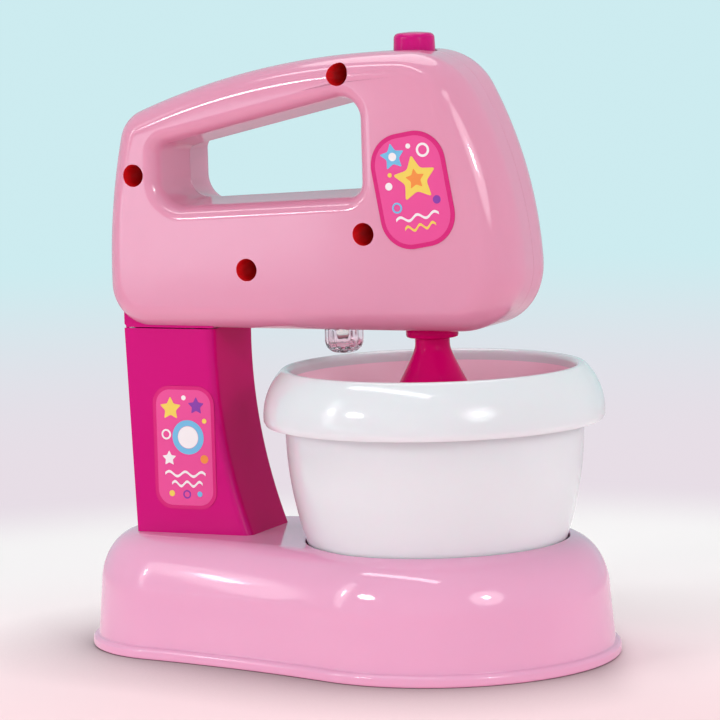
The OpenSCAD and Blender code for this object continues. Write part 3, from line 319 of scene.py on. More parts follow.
def plastic(name, colour, deep, gloss=0.05, spread=0.04, sink=0.35, rub=0.08, specular=0.7,
            subsurface=0.0, reach=2.0, glow=(1, 0.4, 0.5), paintedGlow=0.0):
    mat, tree, shader = newMaterial(name)
    skin = filled(nodeOf(tree, "Group", node_tree=mouldedSkin), {
        "Colour": (*colour, 1), "Deep Colour": (*deep, 1),
        "Gloss": gloss, "Gloss Spread": spread, "Sink": sink, "Rub": rub})
    bump = filled(nodeOf(tree, "Bump"), skinNoise["relief"])
    tree.links.new(skin.outputs["Colour"], shader.inputs["Base Color"])
    tree.links.new(skin.outputs["Roughness"], shader.inputs["Roughness"])
    tree.links.new(skin.outputs["Height"], bump.inputs["Height"])
    tree.links.new(bump.outputs["Normal"], shader.inputs["Normal"])
    filled(shader, {"IOR": skinNoise["ior"], "Specular IOR Level": specular})
    if subsurface:
        filled(shader, {
            "Subsurface Weight": subsurface, "Subsurface Radius": glow, "Subsurface Scale": reach * mm})
    # painted light: the surface glows in its own colour, in place of light that comes through a thin wall
    if paintedGlow:                   # light that comes through a thin wall
        tree.links.new(skin.outputs["Colour"], shader.inputs["Emission Color"])
        shader.inputs["Emission Strength"].default_value = paintedGlow
    return mat


pink = plastic("pinkPlastic", (0.685, 0.288, 0.422), (0.66, 0.266, 0.398), subsurface=0.15)
# painted light: the head's pink, set lighter on the base for the light the pale floor throws up on it
basePinkLit = plastic("basePinkLitPlastic", (0.77, 0.372, 0.555), (0.745, 0.347, 0.53), subsurface=0.15)
# painted shade: a deep red for inside the screw wells, where only light of many bounces reaches
wellPaintedShade = plastic("wellPaintedShadePlastic", (0.80, 0.012, 0.02), (0.76, 0.01, 0.018), gloss=0.3, specular=0.2)
magenta = plastic("magentaPlastic", (0.565, 0.004, 0.19), (0.52, 0.003, 0.165),
                  specular=0.16, subsurface=0.08)
# painted shade: a copy of the magenta with less blue and its gloss turned down, for the column's front face
# that lies in the shade of the bowl and head
magentaShadedFront = plastic("magentaShadedFrontPlastic", (0.60, 0.004, 0.155), (0.56, 0.003, 0.14),
                       specular=0.03, subsurface=0.08)
# painted shade: a copy of the magenta, redder and with its gloss turned down, for the beater in the shade
# and red bounce under the head
beaterShadedMagenta = plastic("beaterShadedMagentaPlastic", (0.60, 0.0006, 0.135), (0.55, 0.0005, 0.11),
                  specular=0.05, subsurface=0.08)
white = plastic("whitePlastic", (0.71, 0.75, 0.775), (0.69, 0.725, 0.75),
                gloss=0.08, subsurface=0.6, reach=3.0, glow=(1, 0.7, 0.8))
# painted light: the bowl's inside is tinted pink for the pink light the head throws into it, and glows a
# little in place of light through the wall
bowlInsidePaintedLight = plastic("bowlInsidePaintedLightPlastic", (0.96, 0.68, 0.79), (0.95, 0.65, 0.77), gloss=0.12, paintedGlow=0.04)
nylon = plastic("nylonNatural", (0.82, 0.80, 0.72), (0.78, 0.76, 0.68), gloss=0.4, spread=0.15)
black = plastic("blackPlastic", (0.012, 0.012, 0.014), (0.02, 0.02, 0.022), gloss=0.35, spread=0.2)
sheath = plastic("leadSheath", (0.012, 0.012, 0.014), (0.02, 0.018, 0.018), gloss=0.5, spread=0.2)
film = plastic("labelFilm", (0.62, 0.012, 0.18), (0.57, 0.009, 0.16),
               gloss=0.18, spread=0.06, sink=0.1, specular=0.35)
jacket = plastic("cellJacket", (0.05, 0.08, 0.13), (0.04, 0.06, 0.10), gloss=0.22, sink=0.05)
inkColours = {
    "rose": (0.74, 0.07, 0.29), "white": (0.82, 0.80, 0.81), "yellow": (0.80, 0.60, 0.10),
    "blue": (0.16, 0.47, 0.72), "purple": (0.22, 0.04, 0.36), "orange": (0.80, 0.26, 0.05),
}
inkDeepens = 0.93
inks = {
    name: plastic(name + "Ink", colour, tuple(c * inkDeepens for c in colour),
                  gloss=0.2, spread=0.06, sink=0.1, specular=0.4)
    for name, colour in inkColours.items()}


# metals, whose scratches change the tone and the gloss
scratches = {"noise": (900, 4), "dark": 0.8, "smooth": 0.7, "rough": 1.5}


def metal(name, colour, gloss):
    mat, tree, shader = newMaterial(name)
    shader.inputs["Metallic"].default_value = 1.0
    grain = noiseOf(tree, objectPlace(tree), *scratches["noise"])
    tone = blended(tree, grain, tuple(c * scratches["dark"] for c in colour), colour)
    tree.links.new(tone, shader.inputs["Base Color"])
    dull = spreadOver(tree, grain, gloss * scratches["smooth"], gloss * scratches["rough"])
    tree.links.new(dull, shader.inputs["Roughness"])
    return mat


steel = metal("platedSteel", (0.62, 0.62, 0.64), 0.28)
brass = metal("brassPinion", (0.72, 0.50, 0.20), 0.25)


# clear pieces, clouded a little by handling
clouding = {"ior": 1.49, "scale": 300, "rough": 3}


def clear(name, tint, rough):
    mat, tree, shader = newMaterial(name)
    filled(shader, {"Base Color": (*tint, 1), "Transmission Weight": 1.0, "IOR": clouding["ior"]})
    cloud = noiseOf(tree, objectPlace(tree), clouding["scale"])
    tree.links.new(spreadOver(tree, cloud, rough, rough * clouding["rough"]), shader.inputs["Roughness"])
    return mat


clearPlastic = clear("clearPlastic", (0.98, 0.86, 0.90), 0.02)
lampGlass = clear("lampGlass", (1.0, 0.95, 0.86), 0.05)
print("materials made")


# making and finishing pieces
making = {
    "merge": 1e-6, "cutMerge": 0.008, "bevelSegments": 3,
    "turnedSteps": 96, "postSteps": 64, "rodSteps": 48,
}


def loopOf(bm, points):
    verts = [bm.verts.new(p) for p in points]
    return [bm.edges.new(pair) for pair in zip(verts, verts[1:] + verts[:1])]


def bridged(bm, loops):
    for a, b in zip(loops, loops[1:]):
        bmesh.ops.bridge_loops(bm, edges=a + b)


def ringed(bm, rings):
    # closed skin over rings of equal counts, the last joined to the first
    verts = [[bm.verts.new(p) for p in ring] for ring in rings]
    for a, b in zip(verts, verts[1:] + verts[:1]):
        for i in range(len(a)):
            j = (i + 1) % len(a)
            bm.faces.new((a[i], a[j], b[j], b[i]))


def spun(bm, profile, centre, axis=(0, 0, 1), steps=making["turnedSteps"]):
    # profile is (radius, height) pairs, closed where it starts and ends on the axis
    up = Vector(axis)
    out = Vector((1, 0, 0)) if abs(up.x) < 0.5 else Vector((0, 0, 1))
    verts = [bm.verts.new(Vector(centre) + out * r * mm + up * h * mm) for r, h in profile]
    edges = [bm.edges.new(pair) for pair in zip(verts, verts[1:])]
    bmesh.ops.spin(bm, geom=verts + edges, cent=centre, axis=up, angle=math.tau, steps=steps, use_merge=True)
    bmesh.ops.remove_doubles(bm, verts=bm.verts, dist=making["merge"])


def arc(cx, cz, r, a0, a1, count):
    angles = [a0 + (a1 - a0) * i / count for i in range(count + 1)]
    return [(cx + r * cosOf(a), cz + r * sinOf(a)) for a in angles]


def rounded(bm, edges, width):
    bmesh.ops.bevel(bm, geom=edges, offset=width * mm, offset_type="OFFSET", affect="EDGES",
                    segments=making["bevelSegments"], profile=0.5, material=-1, clamp_overlap=True)


def toObject(name, bm, merged=True):
    if merged:
        bmesh.ops.remove_doubles(bm, verts=bm.verts, dist=making["merge"])
    bmesh.ops.recalc_face_normals(bm, faces=bm.faces)
    mesh = bpy.data.meshes.new(name)
    bm.to_mesh(mesh)
    bm.free()
    made = bpy.data.objects.new(name, mesh)
    scene.collection.objects.link(made)
    return made


def cut(obj, tool, how="DIFFERENCE"):
    step = obj.modifiers.new("cut", "BOOLEAN")
    step.object, step.operation, step.solver = tool, how, "MANIFOLD"
    bpy.context.view_layer.update()
    graph = bpy.context.evaluated_depsgraph_get()
    mesh = bpy.data.meshes.new_from_object(obj.evaluated_get(graph))
    obj.modifiers.clear()
    obj.data = mesh
    bpy.data.objects.remove(tool)
    bm = bmesh.new()
    bm.from_mesh(mesh)
    bmesh.ops.remove_doubles(bm, verts=bm.verts, dist=making["cutMerge"] * mm)
    bmesh.ops.dissolve_degenerate(bm, dist=making["cutMerge"] * mm, edges=bm.edges)
    bm.to_mesh(mesh)
    bm.free()


def finishPiece(obj, body, material, hides=(), sharp=30, evenly=False):
    obj.data.name = obj.name
    worn = [face.material_index for face in obj.data.polygons]
    obj.data.materials.clear()
    for one in material if isinstance(material, list) else [material]:
        obj.data.materials.append(one)
    obj.data.polygons.foreach_set("material_index", worn)
    obj.data.shade_smooth()
    obj.data.set_sharp_from_angle(angle=math.radians(sharp))
    if evenly:                    # flat faces keep their shading beside small rounds
        shading = obj.modifiers.new("evenShading", "WEIGHTED_NORMAL")
        shading.keep_sharp = True
    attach(obj, body)
    if hides:
        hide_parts(*hides)


# head halves; corners are centre and radius, bows are the radii between them
head = {
    "corners": [(-60.65, 118.55, 14.25), (-58.85, 163.7, 11.2), (29.5, 167.7, 24.0), (45.9, 124.2, 19.9)],
    "bows": [200, 245, 130, 20000],
    "gripCorners": [(-46.0, 151.9, 6.5), (-50.5, 160.2, 2.0), (9.0, 170.9, 5.0), (11.0, 151.3, 3.0)],
    "gripBows": [20000, 20000, 20000, 20000],
    "halfWidth": 21.0, "edgeIn": 7.8, "edgeDeep": 10.0, "noseSoft": 6.5, "noseDeep": 5.0,
    "gripDraft": 1.6, "gripIn": 4.8, "gripDeep": 6.0,
    "wall": 2.0, "seam": 0.16, "counts": (20, 34), "edgeSteps": 16, "past": 1.0,
    "wells": [(-62.5, 153.6), (-23.3, 123.7), (17.3, 135.2), (9.7, 184.9)],
    "wellR": 3.6, "wellFloor": 5.0, "wellSlack": 0.05, "paintedShadeDeep": 4.9, "bossR": 4.9, "bossPast": 2.0,
    "mouth": 0.4, "mouthSlack": 0.03, "mouthOut": 9.0, "mouthAngle": 25.0,
    "bowlX": 31.0, "bushR": 5.15, "lampX": 0.5, "lampR": 6.45, "buttonX": 27.4, "buttonR": 7.2,
    "floorZ": 104.3, "topZ": 191.75, "neck": (-70.55, -38.45, 15.55, 113.45), "neckDrop": 5.0,
    "holeSpan": (-3.0, 4.0), "buttonSpan": (-6.0, 4.0),
}


def bowCentre(p, q, r):
    d = Vector((q[0] - p[0], q[1] - p[1]))
    u = d.normalized()
    a, b = r - p[2], r - q[2]
    t = (a * a - b * b + d.length_squared) / (2 * d.length)
    return Vector((p[0], p[1])) + u * t + Vector((u.y, -u.x)) * math.sqrt(a * a - t * t)


def outlineOf(corners, bows, counts):
    # (centre x, centre z, radius, angle) along four corners and the bows between them, clockwise
    mids = [bowCentre(corners[i], corners[(i + 1) % 4], bows[i]) for i in range(4)]
    toward = lambda a, b: math.atan2(b[1] - a[1], b[0] - a[0])
    line = []
    for i, c in enumerate(corners):
        a0 = toward(mids[i - 1], c)
        a1 = toward(mids[i], c)
        a1 -= math.tau if a1 > a0 else 0
        a2 = toward(mids[i], corners[(i + 1) % 4])
        a2 -= math.tau * math.ceil((a2 - a1) / math.tau)
        arcs = ((c, c[2], a0, a1, counts[0]), (mids[i], bows[i], a1, a2, counts[1]))
        for centre, r, start, end, count in arcs:
            line += [(centre[0], centre[1], r, start + (end - start) * k / count) for k in range(count)]
    return line


headLine = outlineOf(head["corners"], head["bows"], head["counts"])
gripLine = outlineOf(head["gripCorners"], head["gripBows"], head["counts"])


def ringOf(line, d, y, soft=0.0, inward=0.0):
    # soft draws the nose back and inward draws it towards the seam
    ring = []
    for cx, cz, r, a in line:
        nose = max(0, math.cos(a)) ** 2
        x, z = cx + (r - d) * math.cos(a) - soft * nose, cz + (r - d) * math.sin(a)
        ring.append((x * mm, (y - inward * nose) * mm, z * mm))
    return ring


def headForm(name, t, side, y0, seam, steps):
    # one half as a closed solid, drawn in by t, with the handle opening through it
    h = head
    angles = [math.pi / 2 * k / steps for k in range(steps + 1)]
    rings = [ringOf(headLine, t + seam, y0)] + ([ringOf(headLine, t, y0 + side * seam)] if seam else [])
    for a in angles:
        y = h["halfWidth"] - h["edgeDeep"] + (h["edgeDeep"] - t) * math.sin(a)
        d = h["edgeIn"] - (h["edgeIn"] - t) * math.cos(a)
        soft, inward = h["noseSoft"] * (1 - math.cos(a)), side * h["noseDeep"] * (1 - math.sin(a))
        rings.append(ringOf(headLine, d, side * y, soft, inward))
    for a in reversed(angles):
        y = h["halfWidth"] - h["gripDeep"] + (h["gripDeep"] - t) * math.sin(a)
        d = (h["gripIn"] - t) * math.cos(a) - h["gripDraft"] - h["gripIn"]
        rings.append(ringOf(gripLine, d, side * y))
    rings += ([ringOf(gripLine, -t, y0 + side * seam)] if seam else []) + [ringOf(gripLine, -t - seam, y0)]
    bm = bmesh.new()
    ringed(bm, rings)
    return toObject(name, bm)


def rod(bm, x, z, r, y0, y1):
    spun(bm, [(0, y0), (r, y0), (r, y1), (0, y1)], (x * mm, 0, z * mm), (0, 1, 0), making["rodSteps"])


def post(bm, x, r, z0, z1, steps=making["postSteps"]):
    spun(bm, [(0, z0), (r, z0), (r, z1), (0, z1)], (x * mm, 0, 0), steps=steps)


def slab(bm, x0, x1, y0, y1, z0, z1):
    made = bmesh.ops.create_cube(bm, size=1)["verts"]
    bmesh.ops.scale(bm, vec=((x1 - x0) * mm, (y1 - y0) * mm, (z1 - z0) * mm), verts=made)
    middle = ((x0 + x1) / 2 * mm, (y0 + y1) / 2 * mm, (z0 + z1) / 2 * mm)
    bmesh.ops.translate(bm, vec=middle, verts=made)


def roundMouths(obj):
    # rounds the edges where wells leave the skin, and gives the wells the second material, a deep red
    # painted in as the shade inside them
    h = head
    bm = bmesh.new()
    bm.from_mesh(obj.data)
    gaps = lambda v: [math.hypot(v.co.x / mm - x, v.co.z / mm - z) - h["wellR"] for x, z in h["wells"]]
    onMouth = lambda v: any(abs(g) < h["mouthSlack"] for g in gaps(v)) and abs(v.co.y) > h["mouthOut"] * mm
    steep = math.radians(h["mouthAngle"])
    mouth = [e for e in bm.edges if all(map(onMouth, e.verts)) and e.calc_face_angle(0) > steep]
    rounded(bm, mouth, h["mouth"])
    inWell = lambda v: any(g < h["wellSlack"] for g in gaps(v)) and v.co.y < -h["paintedShadeDeep"] * mm
    for face in bm.faces:
        face.material_index = int(all(map(inWell, face.verts)))
    bm.to_mesh(obj.data)
    bm.free()


def makeHeadHalf(name, side, hides):
    h = head
    far = h["halfWidth"] + h["past"]
    obj = headForm(name, 0, side, 0, h["seam"], h["edgeSteps"])
    hollow = headForm("hollow", h["wall"], side, -side, 0, h["edgeSteps"] // 2)
    bm = bmesh.new()
    for x, z in h["wells"]:
        rod(bm, x, z, h["bossR"], -h["bossPast"] * side, side * far)
    cut(hollow, toObject("bosses", bm))
    cut(obj, hollow)
    bm = bmesh.new()
    if side < 0:
        for x, z in h["wells"]:
            rod(bm, x, z, h["wellR"], side * h["wellFloor"], side * far)
    x0, x1, y, z = h["neck"]
    slab(bm, x0, x1, -y, y, h["floorZ"] - h["neckDrop"], z)
    holes = (("bowlX", "bushR", "floorZ", "holeSpan"), ("lampX", "lampR", "floorZ", "holeSpan"),
             ("buttonX", "buttonR", "topZ", "buttonSpan"))
    for x, r, level, span in holes:
        post(bm, h[x], h[r], h[level] + h[span][0], h[level] + h[span][1])
    cut(obj, toObject("openings", bm))
    if side < 0:
        roundMouths(obj)
    finishPiece(obj, "head", [pink, wellPaintedShade], hides, evenly=True)


makeHeadHalf("headNearShell", -1, ["head_near_half"])
makeHeadHalf("headFarShell", 1, ["head_far_half"])
print("head halves made")


# base shell; fillet is (in from the wall, up from the lip)
base = {
    "frontX": 32.5, "frontR": 56.5, "rearX": -51.0, "rearR": 38.0, "waistR": 380.0,
    "lipRound": 0.9, "lipBead": 1.5, "lipH": 3.7, "lipOut": 1.9,
    "fillet": [(0.35, 0.06), (0.1, 0.2), (0.0, 0.5)],
    "lean": 1.3, "leanSteps": 6, "shoulderW": 13.5, "shoulderH": 18.0, "height": 37.5, "wall": 2.0,
    "seatX": 31.0, "seatR": 41.9, "seatZ": 33.0, "cupH": 2.6, "mouthRound": 0.8, "past": 3.0,
    "seatSteps": 160, "pitch": 1.6, "skinIn": 0.08,
}


def baseOutline():
    b = base
    gap = b["frontX"] - b["rearX"]
    p, q = b["rearR"] + b["waistR"], b["frontR"] + b["waistR"]
    wx = b["rearX"] + (p * p - q * q + gap * gap) / (2 * gap)
    wy = math.sqrt(p * p - (wx - b["rearX"]) ** 2)
    front = math.atan2(wy, wx - b["frontX"])
    rear = math.atan2(wy, wx - b["rearX"])
    wf, wr = math.atan2(wy, b["frontX"] - wx), math.atan2(wy, b["rearX"] - wx)
    parts = [
        (b["frontX"], 0, b["frontR"], -front, front, 1),
        (wx, wy, b["waistR"], -wf, -wr, -1),
        (b["rearX"], 0, b["rearR"], rear, math.tau - rear, 1),
        (wx, -wy, b["waistR"], wr, wf, -1),
    ]
    line = []
    for cx, cy, r, a0, a1, bulge in parts:
        count = round(abs(a1 - a0) * r / b["pitch"])
        line += [(cx, cy, r, a0 + (a1 - a0) * k / count, bulge) for k in range(count)]
    return line


def baseRing(line, d, z):
    ring = [(cx, cy, r - bulge * d, a) for cx, cy, r, a, bulge in line]
    return [((cx + r * math.cos(a)) * mm, (cy + r * math.sin(a)) * mm, z * mm) for cx, cy, r, a in ring]


def makeBase():
    b = base
    line = baseOutline()
    lip, bead, top, wide, wall = b["lipRound"], b["lipBead"], b["lipH"], b["lipOut"], b["wall"]
    z0, z1 = top + b["fillet"][-1][1], b["height"] - b["shoulderH"]
    shoulder = lambda start, w, h, angles: [(start + w * (1 - cosOf(a)), z1 + h * sinOf(a)) for a in angles]
    skin = [(lip - lip * sinOf(a), lip - lip * cosOf(a)) for a in range(0, 91, 18)]
    skin += [(bead - bead * cosOf(a), top - bead + bead * sinOf(a)) for a in range(0, 81, 10)]
    skin += [(wide - d, top + z) for d, z in b["fillet"]]
    shares = [k / b["leanSteps"] for k in range(1, b["leanSteps"])]
    skin += [(wide + b["lean"] * s, z0 + (z1 - z0) * s) for s in shares]
    skin += shoulder(wide + b["lean"], b["shoulderW"], b["shoulderH"], range(0, 91, 5))
    within = wide + wall + b["lean"]
    inner = [(wide + wall, 0), (within, z1)]
    inner += shoulder(within, b["shoulderW"] - wall, b["shoulderH"] - wall, range(10, 91, 10))
    bm = bmesh.new()
    outerLoops = [loopOf(bm, baseRing(line, d + b["skinIn"], z)) for d, z in skin]
    innerLoops = [loopOf(bm, baseRing(line, d, z)) for d, z in inner]
    bridged(bm, innerLoops[::-1] + outerLoops)
    for loop in (outerLoops[-1], innerLoops[-1]):
        bmesh.ops.contextual_create(bm, geom=loop)
    obj = toObject("baseShell", bm)
    r, h, seatZ, curl = b["seatR"], b["height"], b["seatZ"], b["mouthRound"]
    seat = bmesh.new()
    post(seat, b["seatX"], r + wall, seatZ - wall, seatZ + b["cupH"], b["seatSteps"])
    cut(obj, toObject("seatCup", seat), "UNION")
    seat = bmesh.new()
    mouth = [(0, seatZ), (r, seatZ)] + [(r + curl - p, z) for p, z in arc(0, h - curl, curl, 0, 90, 4)]
    mouth += [(r + curl, h + b["past"]), (0, h + b["past"])]
    spun(seat, mouth, (b["seatX"] * mm, 0, 0), steps=b["seatSteps"])
    cut(obj, toObject("seatHollow", seat))
    finishPiece(obj, "stand", basePinkLit, ["base_shell"], evenly=True)


makeBase()
print("base made")


# bowl; under is (in from the rim's edge, below it)
bowl = {
    "x": 31.0, "z": 33.3, "top": 92.3, "footR": 40.0, "mouthR": 47.3, "bulgeR": 113.0, "footRound": 3.0,
    "rimH": 17.3, "rimOut": 6.8, "rimCurve": 20.8, "rimLow": 0.14, "rimT": 2.2, "rimStart": 3.0,
    "under": [(1.5, 0.25), (0.5, 0.1)], "groove": 7.0, "wall": 2.0, "lipR": 1.8, "floorRound": 6.0,
    "draft": 8, "wallSteps": 14, "insideSlack": 0.9, "floorSlack": 0.1, "insideTop": 1.5, "steps": 180,
}


def makeBowl():
    b = bowl
    wall, lipR, foot, floorRound = b["wall"], b["lipR"], b["footRound"], b["floorRound"]
    count = b["wallSteps"]
    rimZ = b["top"] - b["rimH"]
    side = Vector((b["mouthR"] - b["footR"], rimZ - b["z"]))
    aside = Vector((-side.y, side.x)).normalized() * math.sqrt(b["bulgeR"] ** 2 - side.length_squared / 4)
    centre = Vector((b["footR"], b["z"])) + side / 2 + aside
    radius = lambda z: centre.x + math.sqrt(b["bulgeR"] ** 2 - (z - centre.y) ** 2)
    rim = Vector((b["mouthR"] + b["rimOut"] - b["rimCurve"], rimZ + b["rimH"] * b["rimLow"]))
    inR = b["rimCurve"] - b["rimT"]
    degrees = lambda s: math.degrees(math.asin(s))
    high = degrees((b["top"] - lipR - rim.y) / (b["rimCurve"] - lipR))
    low = -degrees((rim.y - rimZ) / b["rimCurve"])
    groove = b["top"] - b["groove"]
    floorZ = b["z"] + wall
    floorR = radius(floorZ + floorRound) - wall
    # up the outside, over the rim and down the inside
    footZ = b["z"] + foot
    profile = [(0, b["z"])] + arc(radius(footZ) - foot, footZ, foot, -90, -b["draft"], 6)
    profile += [(radius(z), z) for z in [footZ + (rimZ - footZ) * k / count for k in range(1, count + 1)]]
    profile += [(radius(rimZ), groove)]
    profile += arc(rim.x, rim.y, inR, degrees((groove - rim.y) / inR), -degrees((rim.y - rimZ) / inR), 8)
    edgeX = rim.x + b["rimCurve"] * cosOf(low)
    profile += [(edgeX - d, rimZ - z) for d, z in b["under"]]
    profile += arc(rim.x, rim.y, b["rimCurve"], low + b["rimStart"], high, 20)
    turn = rim.x + (b["rimCurve"] - lipR) * cosOf(high)
    profile += arc(turn, b["top"] - lipR, lipR, high, 180, 12)[1:]
    profile += [(radius(rimZ) - wall, b["top"] - 2 * lipR)]
    levels = [rimZ + (floorZ + floorRound - rimZ) * k / count for k in range(count + 1)]
    profile += [(radius(z) - wall, z) for z in levels]
    profile += arc(floorR - floorRound, floorZ + floorRound, floorRound, -b["draft"], -90, 8)[1:]
    profile += [(0, floorZ)]
    bm = bmesh.new()
    spun(bm, profile, (b["x"] * mm, 0, 0), steps=b["steps"])
    obj = toObject("bowlShell", bm)
    # the inside faces take the second material, with its painted pink bounce and glow
    for face in obj.data.polygons:
        x, y, z = face.center / mm
        within = math.hypot(x - b["x"], y) < radius(z) - wall + b["insideSlack"]
        face.material_index = int(within and floorZ - b["floorSlack"] < z < b["top"] - b["insideTop"] * lipR)
    finishPiece(obj, "bowl", [white, bowlInsidePaintedLight], ["bowl"], sharp=35)


makeBowl()
print("bowl made")


# button
button = {
    "x": 27.4, "r": 6.6, "top": 197.25, "skirtZ": 191.0,
    "round": 1.7, "dome": 0.35, "domeSteps": 6, "draft": 0.15,
    "stemR": 3.0, "stemZ": 181.06, "flangeR": 8.35, "flangeT": 1.5, "flangeZ": 188.55,
}


def makeButton():
    b = button
    under = b["flangeZ"] - b["flangeT"]
    profile = [(0, b["stemZ"]), (b["stemR"], b["stemZ"]), (b["stemR"], under), (b["flangeR"], under)]
    profile += [(b["flangeR"], b["flangeZ"]), (b["r"], b["flangeZ"]), (b["r"], b["skirtZ"])]
    shoulder = b["top"] - b["dome"] - b["round"]
    profile += arc(b["r"] - b["draft"] - b["round"], shoulder, b["round"], 0, 80, 8)
    x, z = profile[-1]
    left = [1 - k / b["domeSteps"] for k in range(1, b["domeSteps"] + 1)]
    profile += [(x * s, z + (b["top"] - z) * (1 - s ** 2)) for s in left]
    bm = bmesh.new()
    spun(bm, profile, (b["x"] * mm, 0, 0))
    obj = toObject("pushButton", bm)
    finishPiece(obj, "button", magenta, ["power_button"], sharp=35)


makeButton()


def makeSpring():
    bm = bmesh.new()
    bm.from_mesh(nodes["button_spring"].data)
    obj = toObject("buttonSpring", bm)
    finishPiece(obj, "head", steel, ["button_spring"], sharp=50)
    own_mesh(obj)


makeSpring()


# beater; soft is the rounding of the collar as (in, down) pairs
whisk = {
    "x": 31.0, "top": 104.0, "collarR": 8.3, "collarH": 2.8, "soft": [(0.7, 0.0), (0.2, 0.2), (0.0, 0.7)],
    "stemR": 5.5, "stemH": 2.0, "stemSoft": 0.5, "slope": 0.53, "bend": 2.5, "drop": 15.2, "flareSteps": 18,
    "ringH": 2.0, "wall": 2.0, "hollowR": 4.5, "hollowDrop": 0.6, "hollowFrom": 4,
    "spindleR": 2.55, "bore": 13.0,
    "foot": 41.3, "hubR": 5.0, "hubH": 4.0, "hubSoft": 0.6,
    "wide": 20.0, "pinch": 0.6, "ribs": 6, "ribTurn": 15.0, "ribLap": 1.0, "ribSteps": 20,
}


def makeBeater():
    w = whisk
    middle = (w["x"] * mm, 0, 0)
    stemTop = w["top"] - w["collarH"]
    stemZ = stemTop - w["stemH"]
    flare = lambda z: w["stemR"] + w["slope"] * (math.hypot(stemZ - z, w["bend"]) - w["bend"])
    steps = [stemZ - w["drop"] * k / w["flareSteps"] for k in range(w["flareSteps"] + 1)]
    ringZ = stemZ - w["drop"] - w["ringH"]
    rimR = flare(steps[-1])
    boreZ = w["top"] - w["bore"]
    profile = [(w["spindleR"], boreZ), (w["spindleR"], w["top"])]
    profile += [(w["collarR"] - d, w["top"] - z) for d, z in w["soft"]]
    profile += [(w["collarR"] - d, stemTop + z) for d, z in reversed(w["soft"])]
    profile += [(w["stemR"] + w["stemSoft"], stemTop), (w["stemR"], stemTop - w["stemSoft"])]
    profile += [(flare(z), z) for z in steps] + [(rimR, ringZ), (rimR - w["wall"], ringZ)]
    hollow = steps[w["hollowFrom"]:]
    profile += [(max(w["hollowR"], flare(z) - w["wall"]), z - w["hollowDrop"]) for z in reversed(hollow)]
    profile += [(0, hollow[0] - w["hollowDrop"]), (0, boreZ), (w["spindleR"], boreZ)]
    bm = bmesh.new()
    spun(bm, profile, middle)
    hubR, foot, soft = w["hubR"], w["foot"], w["hubSoft"]
    share = lambda z: (ringZ - z) / (ringZ - foot)
    belly = lambda z: (w["wide"] - rimR * w["pinch"]) * math.sin(math.pi * share(z))
    ribR = lambda z: hubR - w["ribLap"] + (rimR - hubR) * (1 - share(z)) + belly(z)
    start = ringZ + w["ribLap"]
    levels = [start + (foot - start) * k / w["ribSteps"] for k in range(w["ribSteps"] + 1)]
    outside = [(ribR(min(z, ringZ)), z) for z in levels]
    inside = [(max(w["ribLap"], r - w["wall"]), z) for r, z in reversed(outside)]
    for i in range(w["ribs"]):
        verts = [bm.verts.new(((w["x"] + r) * mm, 0, z * mm)) for r, z in outside + inside]
        face = bm.faces.new(verts)
        turn = Matrix.Rotation(math.radians(360 / w["ribs"] * i - w["ribTurn"] / 2), 3, "Z")
        bmesh.ops.rotate(bm, cent=middle, matrix=turn, verts=verts)
        bmesh.ops.spin(bm, geom=[face] + list(face.edges) + verts, cent=middle, axis=(0, 0, 1),
                       angle=math.radians(w["ribTurn"]), steps=4)
    hubTop = foot + w["hubH"]
    hub = [(0, hubTop), (hubR - soft, hubTop), (hubR, hubTop - soft)]
    hub += [(hubR, foot + soft), (hubR - soft, foot), (0, foot)]
    spun(bm, hub, middle, steps=making["rodSteps"])
    obj = toObject("beaterWhisk", bm)
    finishPiece(obj, "beater_drive", beaterShadedMagenta, ["beater"], sharp=35)


makeBeater()
print("button and beater made")


# lamp cover: a fluted clear cup
lamp = {
    "x": 0.5, "bottom": 95.7, "top": 107.3, "r": 6.3, "round": 4.2, "wall": 1.0,
    "flangeOut": 1.15, "flangeT": 1.0,
    "riseSteps": 8, "rise": 0.6, "inRound": 2.5, "inFloor": 0.7, "inStart": 1.0,
    "flutes": 10, "depth": 0.55, "fluteIn": 0.75, "fluteTop": 104.0, "fluteFloor": 1.4, "fade": (1.5, 2.5),
}


def makeLampCover():
    p = lamp
    r, low, bend, inR = p["r"], p["bottom"], p["round"], p["r"] - p["wall"]
    flangeZ, flangeR = p["top"] - p["flangeT"], r + p["flangeOut"]
    cup = [(0, low)] + arc(r - bend, low + bend, bend, -90, 0, 12)
    cup += [(r, low + bend + p["rise"] * k) for k in range(1, p["riseSteps"] + 1)]
    cup += [(r, flangeZ), (flangeR, flangeZ), (flangeR, p["top"]), (inR, p["top"])]
    floorZ = low + p["wall"] + p["inFloor"]
    cup += [(inR, low + bend + p["inStart"])]
    cup += arc(inR - p["inRound"], floorZ + p["inRound"], p["inRound"], 0, -90, 6) + [(0, floorZ)]
    bm = bmesh.new()
    spun(bm, cup, (p["x"] * mm, 0, 0), steps=p["flutes"] * 16)
    for v in bm.verts:
        x, y, z = v.co.x - p["x"] * mm, v.co.y, v.co.z / mm
        out = math.hypot(x, y) / mm
        if out > r - p["fluteIn"] and z < p["fluteTop"] or (z < low + p["fluteFloor"] and out > 1):
            fade = min(1, max(0, (out - p["fade"][0]) / p["fade"][1]))
            wave = 0.5 - 0.5 * math.cos(p["flutes"] * math.atan2(y, x))
            keep = 1 - fade * p["depth"] / max(out, 1) * wave
            v.co.x, v.co.y = p["x"] * mm + x * keep, y * keep
    obj = toObject("lampCover", bm)
    finishPiece(obj, "head", clearPlastic, ["lamp_cover"], sharp=50)


makeLampCover()
print("lamp cover made")


# column and neck: copies of plain moulded nodes, whose sharp edges get a small radius
column = {"round": 0.4, "neckRound": 0.25, "merge": 2e-6, "flat": 0.6, "sharp": 35.0, "frontward": 0.85}


